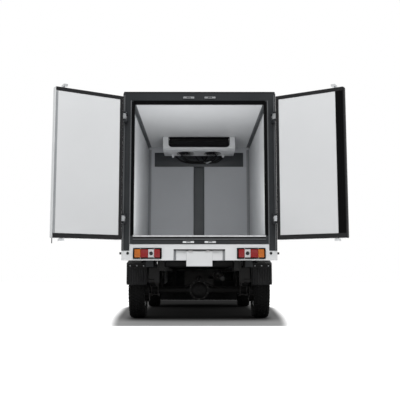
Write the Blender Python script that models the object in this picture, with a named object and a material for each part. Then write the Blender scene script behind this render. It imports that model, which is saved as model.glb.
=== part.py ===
"""Small refrigerated truck: insulated box with two open rear doors, on a light chassis with a
forward cab. Lengths are metres. X is right, Y is forward, Z is up, and every place is measured
from the rear face of the box at the middle of the road under it; the truck as a whole is then
carried so that its origin lies under the middle of its length."""

import math

import bmesh
import bpy
from mathutils import Matrix, Vector

# Name and sign of each side of the truck
SIDES = (("left", -1), ("right", 1))

# Fits that all pieces share
SEAT_GAP = 0.0003
RUN_GAP = 0.0007
OVERRUN = 0.02
WELD_LAP = 0.01
ROUND_SIDES = 12
CORNER_STEPS = 3

# Wheels
TYRE_RADIUS = 0.308
TYRE_WIDTH = 0.177
AXLE_HEIGHT = TYRE_RADIUS
RIM_RADIUS = 0.178
TYRE_SEAT = 0.002
RIM_WIDTH = 0.148
RIM_WALL = 0.014
WEB_PLACE = 0.012
WEB_THICK = 0.012
HUB_RADIUS = 0.05
HUB_PROUD = 0.014
HUB_NOSE_SHARE = 0.8
DISH_SHARE = 2
WHEEL_SIDES = 32

# Width and height of the tyre's flank, as shares of its half width and of its depth on the rim
TYRE_SHARES = ((0.78, 0.0), (0.95, 0.27), (1.0, 0.62), (0.93, 0.90), (0.74, 1.0))

# Half widths of the box's frame and of the cab, and the wheels' track
FRAME_HALF = 0.80
CAB_SHY = 0.02
CAB_HALF = FRAME_HALF - CAB_SHY
TRACK_SHY = 0.095
TRACK_HALF = CAB_HALF - TRACK_SHY

# Chassis rails, the box's runners that lie on them, and the bearers that cross the runners
RAIL_INSET = 0.265
RAIL_WIDTH = 0.06
RAIL_OUTER = TRACK_HALF - RAIL_INSET
RAIL_INNER = RAIL_OUTER - RAIL_WIDTH
RAIL_LIFT = 0.212
RAIL_TALL = 0.11
RAIL_LOW = AXLE_HEIGHT + RAIL_LIFT
RAIL_TOP = RAIL_LOW + RAIL_TALL
RUNNER_TALL = 0.07
BEARER_LOW = RAIL_TOP + RUNNER_TALL
BEARER_TALL = 0.0917
BEARER_WIDTH = 0.06
BEARER_PITCH = 0.55
BEARER_SHY = 0.005
BEARER_END = 0.20

# Insulated box
FLOOR_THICK = 0.0861
SILL_LOW = BEARER_LOW + BEARER_TALL
FLOOR_TOP = SILL_LOW + FLOOR_THICK
WALL = 0.07
WALL_SHY = 0.005
BOX_INSIDE_TALL = 1.4392
BOX_INSIDE = 2.574
BOX_FRONT = BOX_INSIDE + WALL
CEILING = FLOOR_TOP + BOX_INSIDE_TALL
ROOF_TOP = CEILING + WALL
ROOF_ROUND = 0.03
EDGE_ROUND = 0.012

# Rear frame of the box
FRAME_PROUD = 0.007
FRAME_TOP = ROOF_TOP + FRAME_PROUD
FRAME_DEPTH = 0.055
FRAME_CHAMFER = 0.016
HEADER_TALL = 0.108
HEADER_LOW = FRAME_TOP - HEADER_TALL
POST_WIDTH = 0.114
JAMB_HALF = FRAME_HALF - POST_WIDTH
FOOT_TALL = 0.0674
FOOT_WIDTH = 0.082
POST_FOOT = SILL_LOW - FOOT_TALL
BOX_HALF = FRAME_HALF - WALL_SHY
INSIDE_HALF = BOX_HALF - WALL
BEARER_HALF = INSIDE_HALF - BEARER_SHY

# Rear doors and their hinges; the heights of the hinges are shares of the door's height
DOOR_ANGLE = math.radians(150)
DOOR_THICK = 0.055
DOOR_CLEAR = 0.006
DOOR_ROUND = 0.005
PIN_INSET = 0.025
PIN_OUT = 0.023
PIN_X = FRAME_HALF - PIN_INSET
PIN_Y = -DOOR_CLEAR - DOOR_THICK - PIN_OUT
DOOR_INNER = 0.010
DOOR_EDGE = 0.05
DOOR_OUTER = PIN_X - DOOR_EDGE
DOOR_DROP = 0.0528
DOOR_LOW = FLOOR_TOP - DOOR_DROP
DOOR_LAP = 0.009
DOOR_TOP = HEADER_LOW + DOOR_LAP
HINGE_SHARES = (0.1503, 0.8721)
PIN_RADIUS = 0.006
PIN_BORE = 0.0075
KNUCKLE_ROUND = 0.018
KNUCKLE_HALF = 0.028
EAR_THICK = 0.020
EAR_CLEAR = 0.0007
EAR_FOOT = 0.030
STRAP_THICK = 0.009
STRAP_LENGTH = 0.17

# Lock gear on the rear doors and its keepers on the frame; guides stand at shares of the door
ROD_X = 0.121
ROD_RADIUS = 0.011
ROD_STAND = 0.020
CAM_HALF = 0.020
CAM_THICK = 0.022
CAM_REACH = 0.016
CAM_LIFT = 0.0083
KEEPER_LIFT = 0.0158
HEADER_KEEPER_LIFT = 0.040
ROD_LOW = SILL_LOW + CAM_LIFT
ROD_TOP = HEADER_LOW + HEADER_KEEPER_LIFT + CAM_THICK / 2
KEEPER_HALF = 0.036
KEEPER_TALL = 0.022
KEEPER_THICK = 0.008
GUIDE_HALF = 0.025
GUIDE_TALL = 0.035
GUIDE_SHARES = (0.06, 0.36, 0.64, 0.94)
HANDLE_LIFT = 0.385
HANDLE_REACH = 0.36
HANDLE_TALL = 0.026
HANDLE_THICK = 0.010

# Rear bumper panel, lamps and plate board; the recess is a share of the space between the lamps,
# and the board a share of the recess
BUMPER_TALL = 0.1673
BUMPER_LOW = SILL_LOW - BUMPER_TALL
BUMPER_SHY = 0.004
LAMP_EDGE = 0.121
LAMP_WIDTH = 0.293
LAMP_OUTER = FRAME_HALF - LAMP_EDGE
LAMP_INNER = LAMP_OUTER - LAMP_WIDTH
LAMP_LIFT = 0.0163
LAMP_TALL = 0.1101
LAMP_LOW = BUMPER_LOW + LAMP_LIFT
LAMP_TOP = LAMP_LOW + LAMP_TALL
LAMP_PROUD = 0.014
LAMP_ROUND = 0.008
RECESS_SHARE = 0.684
RECESS_HALF = LAMP_INNER * RECESS_SHARE
RECESS_TALL = 0.1131
RECESS_DEPTH = 0.030
BOARD_SHARE = 0.5076
BOARD_HALF = RECESS_HALF * BOARD_SHARE
BOARD_DROP = 0.061
BOARD_TALL = 0.1586
BOARD_LOW = BUMPER_LOW - BOARD_DROP
BOARD_THICK = 0.010
BUMPER_ARM_REACH = 0.12
BUMPER_ARM_THICK = 0.010
BUMPER_ARM_LAP = 0.02

# Cooling gear
EVAPORATOR_HALF = 0.485
EVAPORATOR_LENGTH = 0.46
EVAPORATOR_SPACE = 0.244
EVAPORATOR_TALL = 0.172
EVAPORATOR_FRONT = BOX_INSIDE - EVAPORATOR_SPACE
EVAPORATOR_REAR = EVAPORATOR_FRONT - EVAPORATOR_LENGTH
EVAPORATOR_LOW = CEILING - EVAPORATOR_TALL
EVAPORATOR_SLOPE = 0.05
OUTLET_EDGE = 0.08
OUTLET_TALL = 0.125
OUTLET_DEPTH = 0.09
OUTLET_ROUND = 0.035
FAN_X = 0.185
FAN_RADIUS = 0.12
FAN_DEPTH = 0.05
FAN_SIDES = 20
HOSE_RADIUS = 0.011
HOSE_SAG = 0.075
HOSE_HALF = 0.24
HOSE_BACK = 0.05
HOSE_POINTS = 14
HOSE_SIDES = 8
CONDENSER_HALF = 0.50
CONDENSER_DEPTH = 0.40
CONDENSER_TALL = 0.35
CONDENSER_ROUND = 0.025
CONDENSER_NOSE = 0.12
CONDENSER_GAP = 0.06

# Cab, from its place in front of the box
CAB_GAP = 0.076
CAB_REAR = BOX_FRONT + CAB_GAP
CAB_LENGTH = 1.46
CAB_FRONT = CAB_REAR + CAB_LENGTH
CAB_FLOOR_LOW = RAIL_TOP + RUNNER_TALL
CAB_FLOOR_THICK = 0.045
CAB_FLOOR_TOP = CAB_FLOOR_LOW + CAB_FLOOR_THICK
CAB_DROP = 0.32
CAB_TALL = 1.52
CAB_LOW = CAB_FLOOR_LOW - CAB_DROP
CAB_TOP = CAB_LOW + CAB_TALL
CONDENSER_LOW = CAB_TOP + CONDENSER_GAP
CONDENSER_TOP = CONDENSER_LOW + CONDENSER_TALL
CAB_WALL = 0.045
CAB_FRONT_ROUND = 0.15
CAB_REAR_ROUND = 0.05
CAB_CROWN = 0.05
CAB_SKIRT_WIDTH = 0.14
MOUNT_HALF = 0.04
MOUNT_EDGE = 0.12
MOUNT_NOSE = 0.24
ARCH_GAP = 0.077
ARCH_RADIUS = TYRE_RADIUS + ARCH_GAP
ARCH_SIDES = 32

# Heights, front ends, rear ends and half widths of the cab's level rings, as shares of the cab's
# height, length and half width
CAB_RING_SHARES = (
    (0.00, 0.965, 0.00, 0.972),
    (0.15, 0.990, 0.00, 0.992),
    (0.34, 1.000, 0.00, 1.000),
    (0.50, 0.965, 0.00, 0.995),
    (0.70, 0.835, 0.00, 0.955),
    (0.90, 0.690, 0.01, 0.890),
    (0.97, 0.600, 0.03, 0.830),
    (1.00, 0.480, 0.08, 0.720),
)

# Places across and along the front ring where its face is cut for the crown, as shares of the
# face's half width
CROWN_SHARES = (0.5, 0.0, -0.5)

# Wheels' places along and across the truck
REAR_AXLE = 0.75
AXLE_SETBACK = 0.73
FRONT_AXLE = CAB_FRONT - AXLE_SETBACK
RAIL_REAR_GAP = 0.005
RAIL_NOSE = 0.13
RAIL_REAR = FRAME_DEPTH + RAIL_REAR_GAP
RAIL_FRONT = CAB_FRONT - RAIL_NOSE
BEARER_REAR = REAR_AXLE - BEARER_PITCH
BEARER_COUNT = int((BOX_FRONT - BEARER_END - BEARER_REAR) / BEARER_PITCH) + 1

# Rear axle
AXLE_RADIUS = 0.036
DIFF_RADIUS = 0.105
DIFF_SIDES = 16
DIFF_NOSE = 0.133
DIFF_NOSE_RADIUS = 0.045
DIFF_NECK_SHARE = 0.8
DRUM_RADIUS = 0.125
DRUM_REACH = 0.125
DRUM_WIDTH = 0.08
DRUM_SIDES = 20
DRUM_INNER = TRACK_HALF - DRUM_REACH

# Rear springs and dampers
SPRING_SIDE = 0.05
SPRING_WIDTH = 0.06
SPRING_INNER = RAIL_OUTER + SPRING_SIDE
SPRING_OUTER = SPRING_INNER + SPRING_WIDTH
SPRING_THICK = 0.028
SPRING_HALF = 0.55
SPRING_RISE = 0.055
SPRING_STEPS = 10
SADDLE_HALF = 0.05
HANGER_THICK = 0.03
HANGER_RISE = 0.13
DAMPER_SIDE = 0.026
DAMPER_X = RAIL_OUTER + DAMPER_SIDE
DAMPER_RADIUS = 0.020
DAMPER_LEAN = 0.20
DAMPER_DROP = 0.045
DAMPER_TOP = RAIL_TOP - DAMPER_DROP

# Front suspension and steering
KINGPIN_INSET = 0.105
KINGPIN_X = TRACK_HALF - KINGPIN_INSET
KINGPIN_RADIUS = 0.022
KINGPIN_HALF = 0.078
KINGPIN_LOW = AXLE_HEIGHT - KINGPIN_HALF
KINGPIN_TOP = AXLE_HEIGHT + KINGPIN_HALF
YOKE_THICK = 0.024
YOKE_HALF = 0.022
YOKE_CLEAR = 0.0007
STRUT_INSET = 0.06
STRUT_X = KINGPIN_X - STRUT_INSET
STRUT_RADIUS = 0.025
BEAM_HALF = 0.05
BEAM_DROP = 0.103
BEAM_TALL = 0.085
BEAM_LOW = AXLE_HEIGHT - BEAM_DROP
BEAM_TOP = BEAM_LOW + BEAM_TALL
BEAM_POST = 0.05
SPINDLE_RADIUS = 0.02
DISC_RADIUS = 0.12
DISC_INSET = 0.07
DISC_INNER = TRACK_HALF - DISC_INSET
DISC_THICK = 0.025

# Engine, gearbox and their cross member
ENGINE_HALF = 0.21
ENGINE_LENGTH = 0.53
ENGINE_BACK = 0.07
ENGINE_DROP = 0.22
ENGINE_RISE = 0.03
ENGINE_FRONT = FRONT_AXLE - ENGINE_BACK
ENGINE_REAR = ENGINE_FRONT - ENGINE_LENGTH
ENGINE_LOW = RAIL_LOW - ENGINE_DROP
ENGINE_TOP = RAIL_TOP + ENGINE_RISE
GEARBOX_HALF = 0.13
GEARBOX_LENGTH = 0.45
GEARBOX_TALL = 0.19
GEARBOX_REAR = ENGINE_REAR - GEARBOX_LENGTH
GEARBOX_LOW = RAIL_LOW - GEARBOX_TALL
SHAFT_RADIUS = 0.03
MEMBER_AHEAD = 0.05
MEMBER_WIDTH = 0.08
MEMBER_LIFT = 0.015
MEMBER_TALL = 0.065
MEMBER_POST = 0.06
MEMBER_REAR = GEARBOX_REAR + MEMBER_AHEAD
MEMBER_LOW = RAIL_LOW + MEMBER_LIFT

# Fuel tank and exhaust
TANK_WIDTH = 0.32
TANK_AHEAD = 0.70
TANK_LENGTH = 0.70
TANK_TALL = 0.24
TANK_DROP = 0.03
TANK_REAR = REAR_AXLE + TANK_AHEAD
TANK_TOP = RAIL_TOP - TANK_DROP
TANK_ROUND = 0.035
SILENCER_INSET = 0.12
SILENCER_X = RAIL_INNER - SILENCER_INSET
SILENCER_DROP = 0.05
SILENCER_HEIGHT = RAIL_LOW - SILENCER_DROP
SILENCER_RADIUS = 0.06
SILENCER_AHEAD = 0.75
SILENCER_LENGTH = 0.60
SILENCER_SIDES = 16
SILENCER_REAR = REAR_AXLE + SILENCER_AHEAD
SILENCER_FRONT = SILENCER_REAR + SILENCER_LENGTH
PIPE_RADIUS = 0.021
PIPE_SIDES = 10
PIPE_END = 0.12
PIPE_SWING = 0.03
PIPE_RUN = 0.105
STRAP_HALF = 0.02

# Rear mudguards
GUARD_GAP = 0.071
GUARD_RADIUS = TYRE_RADIUS + GUARD_GAP
GUARD_THICK = 0.008
GUARD_INNER = TRACK_HALF - DRUM_REACH
GUARD_SHY = 0.02
GUARD_OUTER = FRAME_HALF - GUARD_SHY
GUARD_FRONT_ANGLE = math.radians(155)
GUARD_REAR_ANGLE = math.radians(60)
GUARD_STEPS = 9
FLAP_BEHIND = 0.40
FLAP_PLACE = REAR_AXLE - FLAP_BEHIND
FLAP_DROP = 0.10
FLAP_TALL = 0.228
FLAP_TOP = BEARER_LOW - FLAP_DROP
FLAP_LOW = FLAP_TOP - FLAP_TALL
GUARD_POST_HALF = 0.02

# Cab doors, their glass and mirrors; belt and top stand at shares of the cab's height
SIDE_DOOR_BEHIND = 0.30
SIDE_DOOR_AHEAD = 0.27
SIDE_DOOR_SLANT = 0.34
SIDE_DOOR_STEP = 0.010
SIDE_DOOR_BELT_SHARE = 0.5132
SIDE_DOOR_TOP_SHARE = 0.9178
SIDE_DOOR_REAR = CAB_REAR + SIDE_DOOR_AHEAD
SIDE_DOOR_FRONT = CAB_FRONT - SIDE_DOOR_BEHIND
SIDE_DOOR_TOP_FRONT = SIDE_DOOR_FRONT - SIDE_DOOR_SLANT
SIDE_DOOR_LOW = CAB_FLOOR_TOP - SIDE_DOOR_STEP
SIDE_DOOR_BELT = CAB_LOW + CAB_TALL * SIDE_DOOR_BELT_SHARE
SIDE_DOOR_TOP = CAB_LOW + CAB_TALL * SIDE_DOOR_TOP_SHARE
SIDE_DOOR_ROUND = 0.05
SIDE_DOOR_GAP = 0.008
SIDE_DOOR_DEPTH = 0.38
SIDE_DOOR_REACH = CAB_HALF - SIDE_DOOR_DEPTH
SIDE_PIN_OUT = 0.006
SIDE_PIN_X = CAB_HALF + SIDE_PIN_OUT
WINDOW_EDGE = 0.065
MIRROR_OUT = 0.08
MIRROR_WIDTH = 0.13
MIRROR_TALL = 0.24
MIRROR_LIFT = 0.01
MIRROR_BEHIND = 0.10
MIRROR_INNER = CAB_HALF + MIRROR_OUT
MIRROR_OUTER = MIRROR_INNER + MIRROR_WIDTH
MIRROR_LOW = SIDE_DOOR_BELT + MIRROR_LIFT
MIRROR_TOP = MIRROR_LOW + MIRROR_TALL
MIRROR_PLACE = SIDE_DOOR_FRONT - MIRROR_BEHIND
MIRROR_THICK = 0.05
MIRROR_ROUND = 0.02
MIRROR_ARM = 0.012

# Dashboard and windscreen, at shares of the cab's length and height
DASH_SHARE = 0.315
DASH_LOW_SHARE = 0.3421
DASH_TOP_SHARE = 0.4901
DASH_REAR = CAB_FRONT - CAB_LENGTH * DASH_SHARE
DASH_LOW = CAB_LOW + CAB_TALL * DASH_LOW_SHARE
DASH_TOP = CAB_LOW + CAB_TALL * DASH_TOP_SHARE
GLASS_INSET = 0.010
GLASS_THICK = 0.006
SCREEN_LOW_SHARE = 0.5197
SCREEN_TOP_SHARE = 0.8947
SCREEN_EDGE = 0.12
SCREEN_TAPER = 0.085
SCREEN_LOW = CAB_LOW + CAB_TALL * SCREEN_LOW_SHARE
SCREEN_TOP = CAB_LOW + CAB_TALL * SCREEN_TOP_SHARE
SCREEN_LOW_HALF = CAB_HALF - SCREEN_EDGE
SCREEN_TOP_HALF = SCREEN_LOW_HALF - SCREEN_TAPER
SCREEN_ROUND = 0.06

# Headlamps and front bumper
HEADLAMP_EDGE = 0.08
HEADLAMP_WIDTH = 0.27
HEADLAMP_LIFT = 0.26
HEADLAMP_TALL = 0.18
HEADLAMP_OUTER = CAB_HALF - HEADLAMP_EDGE
HEADLAMP_INNER = HEADLAMP_OUTER - HEADLAMP_WIDTH
HEADLAMP_LOW = CAB_LOW + HEADLAMP_LIFT
HEADLAMP_TOP = HEADLAMP_LOW + HEADLAMP_TALL
HEADLAMP_ROUND = 0.035
HEADLAMP_SHY = 0.002
NOSE_BUMPER_DROP = 0.09
NOSE_BUMPER_TALL = 0.27
NOSE_BUMPER_LOW = CAB_LOW - NOSE_BUMPER_DROP
NOSE_BUMPER_TOP = NOSE_BUMPER_LOW + NOSE_BUMPER_TALL
NOSE_BUMPER_PROUD = 0.03
NOSE_BUMPER_WALL = 0.06
NOSE_BUMPER_LENGTH = 0.33
NOSE_BUMPER_REAR = CAB_FRONT - NOSE_BUMPER_LENGTH
NOSE_BUMPER_TUCK = 0.05
NOSE_ARM_HALF = 0.02
NOSE_ARM_TALL = 0.035

# Seats and steering wheel, at shares of the cab's half width, length and height
SEAT_PLACE_SHARE = 0.4615
SEAT_HALF_SHARE = 0.3141
SEAT_LENGTH_SHARE = 0.3425
SEAT_LOW_SHARE = 0.375
SEAT_TOP_SHARE = 0.4605
SEAT_BACK_SHARE = 0.8158
SEAT_AHEAD = 0.11
SEAT_X = CAB_HALF * SEAT_PLACE_SHARE
SEAT_HALF = CAB_HALF * SEAT_HALF_SHARE
SEAT_REAR = CAB_REAR + SEAT_AHEAD
SEAT_FRONT = SEAT_REAR + CAB_LENGTH * SEAT_LENGTH_SHARE
SEAT_LOW = CAB_LOW + CAB_TALL * SEAT_LOW_SHARE
SEAT_TOP = CAB_LOW + CAB_TALL * SEAT_TOP_SHARE
SEAT_BACK_TOP = CAB_LOW + CAB_TALL * SEAT_BACK_SHARE
SEAT_BACK_THICK = 0.12
SEAT_INSET = 0.04
SEAT_ROUND = 0.03
WHEEL_BEHIND_SHARE = 0.1096
WHEEL_LIFT = 0.075
WHEEL_PLACE = DASH_REAR - CAB_LENGTH * WHEEL_BEHIND_SHARE
WHEEL_HEIGHT = DASH_TOP + WHEEL_LIFT
WHEEL_RADIUS = 0.185
WHEEL_GRIP = 0.014
WHEEL_HUB = 0.045
SPOKE_SHARE = 0.7
COLUMN_RADIUS = 0.022
COLUMN_DROP = 0.25
COLUMN_RUN = 0.27
WHEEL_RING_SIDES = 24
GRIP_SIDES = 6


def clear_scene():
    for item in list(bpy.data.objects):
        bpy.data.objects.remove(item, do_unlink=True)


def finish(name, colour, roughness, metallic=0.0):
    material = bpy.data.materials.new(name)
    material.use_nodes = True
    shader = material.node_tree.nodes["Principled BSDF"]
    shader.inputs["Base Color"].default_value = (*colour, 1.0)
    shader.inputs["Roughness"].default_value = roughness
    shader.inputs["Metallic"].default_value = metallic
    return material


def empty(name, place, parent=None, turn=0.0):
    """A frame that carries pieces; its own place is kept so that they can be drawn in the
    truck's measures."""
    item = bpy.data.objects.new(name, None)
    item.location = Vector(place) - (Vector(parent["home"]) if parent else Vector())
    item.rotation_euler.z = turn
    item["home"] = list(place) if parent else [0, 0, 0]
    item.parent = parent
    bpy.context.collection.objects.link(item)
    return item


def piece(name, shape, parent, material=None):
    mesh = bpy.data.meshes.new(name)
    bmesh.ops.recalc_face_normals(shape, faces=shape.faces)
    shape.to_mesh(mesh)
    shape.free()
    item = bpy.data.objects.new(name, mesh)
    item.parent = parent
    item.location = -Vector(parent["home"])
    bpy.context.collection.objects.link(item)
    if material:
        mesh.materials.append(material)
    return item


def combine(target, shape, operation):
    helper = piece(target.name + "_helper", shape, target.parent)
    helper.hide_render = True
    helper.display_type = "WIRE"
    modifier = target.modifiers.new(operation.lower(), "BOOLEAN")
    modifier.operation = operation
    modifier.solver = "EXACT"
    modifier.object = helper


def add(target, *shapes):
    for shape in shapes:
        combine(target, shape, "UNION")


def cut(target, *shapes):
    for shape in shapes:
        combine(target, shape, "DIFFERENCE")


def trim(target, shape):
    combine(target, shape, "INTERSECT")


def round_edges(target, width, steps=2):
    modifier = target.modifiers.new("round", "BEVEL")
    modifier.width = width
    modifier.segments = steps
    modifier.limit_method = "ANGLE"


def box(across, along, up):
    shape = bmesh.new()
    bmesh.ops.create_cube(shape, size=1)
    ends = (sorted(across), sorted(along), sorted(up))
    for corner in shape.verts:
        corner.co = [pair[value > 0] for pair, value in zip(ends, corner.co)]
    return shape


def rod(start, end, radius, sides=ROUND_SIDES, end_radius=None):
    run = Vector(end) - Vector(start)
    middle = (Vector(end) + Vector(start)) / 2
    turn = Vector((0, 0, 1)).rotation_difference(run).to_matrix().to_4x4()
    shape = bmesh.new()
    last = radius if end_radius is None else end_radius
    bmesh.ops.create_cone(shape, cap_ends=True, segments=sides, radius1=radius, radius2=last,
                          depth=run.length, matrix=Matrix.Translation(middle) @ turn)
    return shape


def loft(rings):
    """Closed solid through rings of equal counts of points."""
    shape = bmesh.new()
    rows = [[shape.verts.new(point) for point in ring] for ring in rings]
    count = len(rows[0])
    for lower, upper in zip(rows, rows[1:]):
        for index in range(count):
            after = (index + 1) % count
            shape.faces.new((lower[index], lower[after], upper[after], upper[index]))
    shape.faces.new(rows[0])
    shape.faces.new(rows[-1])
    return shape


def prism(outline, axis, ends):
    """Outline drawn on the two other axes, in their order, and carried from end to end."""
    order = {"X": (2, 0, 1), "Y": (0, 2, 1), "Z": (0, 1, 2)}[axis]
    rings = []
    for end in ends:
        rings.append([[(*point, end)[place] for place in order] for point in outline])
    return loft(rings)


def turned(profile, centre, side, sides=WHEEL_SIDES):
    """Closed profile of (place along X, radius) turned about the X axis through centre."""
    shape = bmesh.new()
    rings = []
    for step in range(sides):
        angle = 2 * math.pi * step / sides
        ring = []
        for along, radius in profile:
            place = (side * along, radius * math.sin(angle), -radius * math.cos(angle))
            ring.append(shape.verts.new(Vector(centre) + Vector(place)))
        rings.append(ring)
    count = len(profile)
    for index in range(sides):
        near = rings[index]
        far = rings[(index + 1) % sides]
        for place in range(count):
            after = (place + 1) % count
            if profile[place][1] > 0 or profile[after][1] > 0:
                shape.faces.new((near[place], near[after], far[after], far[place]))
    bmesh.ops.remove_doubles(shape, verts=shape.verts, dist=SEAT_GAP)
    return shape


def swept(points, radius, sides=ROUND_SIDES):
    """Round bar along a route of points."""
    route = [Vector(point) for point in points]
    rings = []
    across = None
    for index, point in enumerate(route):
        before = route[max(index - 1, 0)]
        after = route[min(index + 1, len(route) - 1)]
        ahead = (after - before).normalized()
        if across is None:
            across = ahead.orthogonal().normalized()
        across = (across - ahead * across.dot(ahead)).normalized()
        other = ahead.cross(across)
        ring = []
        for step in range(sides):
            angle = 2 * math.pi * step / sides
            ring.append(point + radius * (math.cos(angle) * across + math.sin(angle) * other))
        rings.append(ring)
    return loft(rings)


def eased(points, steps=6):
    """Smooth route through a few points of a held pipe."""
    route = [Vector(point) for point in points]
    padded = [2 * route[0] - route[1], *route, 2 * route[-1] - route[-2]]
    smooth = []
    for index in range(1, len(padded) - 2):
        first, start, end, last = padded[index - 1:index + 3]
        for step in range(steps):
            share = step / steps
            near = (end - first) * share
            bend = (2 * first - 5 * start + 4 * end - last) * share ** 2
            turn = (3 * start - 3 * end + last - first) * share ** 3
            smooth.append(start + (near + bend + turn) / 2)
    smooth.append(route[-1])
    return smooth


def rounded(corners, radius, steps=CORNER_STEPS):
    """Outline whose corners are arcs."""
    points = []
    for index, corner in enumerate(corners):
        here = Vector(corner)
        before = (Vector(corners[index - 1]) - here).normalized()
        after = (Vector(corners[(index + 1) % len(corners)]) - here).normalized()
        half = before.angle(after) / 2
        centre = here + (before + after).normalized() * radius / math.sin(half)
        start = here + before * radius / math.tan(half) - centre
        end = here + after * radius / math.tan(half) - centre
        sweep = start.angle_signed(end)
        for step in range(steps + 1):
            angle = -sweep * step / steps
            turn = Matrix.Rotation(angle, 2)
            points.append(tuple(centre + turn @ start))
    return points


def shrunk(corners, distance):
    """Corners of the outline whose edges lie a distance further in."""
    count = len(corners)
    area = 0.0
    for index, corner in enumerate(corners):
        area += corners[index - 1][0] * corner[1] - corner[0] * corners[index - 1][1]
    side = math.copysign(distance, area)
    points = []
    for index in range(count):
        here = Vector(corners[index])
        before = (here - Vector(corners[index - 1])).normalized()
        after = (Vector(corners[(index + 1) % count]) - here).normalized()
        inward = Vector((-before.y, before.x)) + Vector((-after.y, after.x))
        points.append(tuple(here + inward * side / (1 + before.dot(after))))
    return points


def band(path, thickness):
    """Outline of a strip of even thickness along a path."""
    upper = []
    lower = []
    for index, point in enumerate(path):
        before = Vector(path[max(index - 1, 0)])
        after = Vector(path[min(index + 1, len(path) - 1)])
        ahead = (after - before).normalized()
        aside = Vector((-ahead.y, ahead.x)) * thickness / 2
        upper.append(tuple(Vector(point) + aside))
        lower.append(tuple(Vector(point) - aside))
    return upper + lower[::-1]


def eye(side, root):
    """Plan of a hinge plate: its root corners, then a round end about the pin."""
    centre = Vector((PIN_X, PIN_Y))
    points = [Vector(point) for point in root]
    start = math.atan2(*(points[-1] - centre).yx)
    end = math.atan2(*(points[0] - centre).yx)
    start -= math.acos(KNUCKLE_ROUND / (points[-1] - centre).length)
    end += math.acos(KNUCKLE_ROUND / (points[0] - centre).length)
    sweep = (end - start) % (2 * math.pi) - 2 * math.pi
    for step in range(ROUND_SIDES // 2 + 1):
        angle = start + sweep * step / (ROUND_SIDES // 2)
        points.append(centre + KNUCKLE_ROUND * Vector((math.cos(angle), math.sin(angle))))
    return [(side * point.x, point.y) for point in points]


def rear_reach():
    """Furthest back that an open rear door stands."""
    width = PIN_X - DOOR_INNER
    inside = -DOOR_CLEAR - PIN_Y
    corners = ((width - DOOR_ROUND, inside), (width, inside - DOOR_ROUND))
    return PIN_Y + min(depth * math.cos(DOOR_ANGLE) - reach * math.sin(DOOR_ANGLE)
                       for reach, depth in corners)


def cab_sizes(height):
    """Front end, rear end and half width of the cab at a height."""
    share = (height - CAB_LOW) / (CAB_TOP - CAB_LOW)
    share = min(max(share, 0.0), 1.0)
    for lower, upper in zip(CAB_RING_SHARES, CAB_RING_SHARES[1:]):
        if share <= upper[0]:
            break
    part = (share - lower[0]) / (upper[0] - lower[0])
    front, rear, width = (a + (b - a) * part for a, b in zip(lower[1:], upper[1:]))
    return CAB_REAR + CAB_LENGTH * front, CAB_REAR + CAB_LENGTH * rear, CAB_HALF * width


def cab_ring(height, inset=0.0, size_height=None):
    """Level ring round the cab: round corners, and a front that is crowned in the middle."""
    front, rear, half = cab_sizes(height if size_height is None else size_height)
    front -= inset
    rear += inset
    half -= inset
    front_round = CAB_FRONT_ROUND - inset
    rear_round = max(CAB_REAR_ROUND - inset, SEAT_GAP)
    points = []
    for across, along, radius, first in ((1, rear, rear_round, -90), (1, front, front_round, 0),
                                         (-1, front, front_round, 90), (-1, rear, rear_round, 180)):
        sign = 1 if along == front else -1
        centre = Vector((across * (half - radius), along - sign * radius))
        for step in range(CORNER_STEPS + 2):
            angle = math.radians(first + 90 * step / (CORNER_STEPS + 1))
            points.append(centre + radius * Vector((math.cos(angle), math.sin(angle))))
        if across == 1 and along == front:
            for share in CROWN_SHARES:
                points.append(Vector((share * (half - radius), front)))
    ring = []
    for point in points:
        if point.y > (front + rear) / 2:
            point.y -= CAB_CROWN * (point.x / half) ** 2 * (point.y - rear) / (front - rear)
        ring.append((point.x, point.y, height))
    return ring


def cab_hull(inset, low, top):
    """Solid that fills the cab's outer form, drawn in by inset, between two heights."""
    heights = [low]
    for row in CAB_RING_SHARES:
        height = CAB_LOW + (CAB_TOP - CAB_LOW) * row[0]
        if low + SEAT_GAP < height < top - SEAT_GAP:
            heights.append(height)
    heights.append(top)
    return loft([cab_ring(height, inset) for height in heights])


def side_door_corners():
    return [(SIDE_DOOR_REAR, SIDE_DOOR_LOW), (SIDE_DOOR_FRONT, SIDE_DOOR_LOW),
            (SIDE_DOOR_FRONT, SIDE_DOOR_BELT), (SIDE_DOOR_TOP_FRONT, SIDE_DOOR_TOP),
            (SIDE_DOOR_REAR, SIDE_DOOR_TOP)]


def window_corners():
    """Window of the cab door: an even edge inside the door, above the belt."""
    rear, _, _, top_front, _ = shrunk(side_door_corners(), WINDOW_EDGE)
    slope = (SIDE_DOOR_FRONT - SIDE_DOOR_TOP_FRONT) / (SIDE_DOOR_TOP - SIDE_DOOR_BELT)
    front = top_front[0] + slope * (top_front[1] - SIDE_DOOR_BELT)
    return [(rear[0], SIDE_DOOR_BELT), (front, SIDE_DOOR_BELT), top_front,
            (rear[0], top_front[1])]


def screen_corners():
    return [(-SCREEN_LOW_HALF, SCREEN_LOW), (SCREEN_LOW_HALF, SCREEN_LOW),
            (SCREEN_TOP_HALF, SCREEN_TOP), (-SCREEN_TOP_HALF, SCREEN_TOP)]


def headlamp_corners(side):
    return [(side * HEADLAMP_INNER, HEADLAMP_LOW), (side * HEADLAMP_OUTER, HEADLAMP_LOW),
            (side * HEADLAMP_OUTER, HEADLAMP_TOP), (side * HEADLAMP_INNER, HEADLAMP_TOP)]


def make_rails(body, steel):
    for label, side in SIDES:
        piece("rail_" + label, box((side * RAIL_INNER, side * RAIL_OUTER),
                                   (RAIL_REAR, RAIL_FRONT), (RAIL_LOW, RAIL_TOP)), body, steel)


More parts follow.
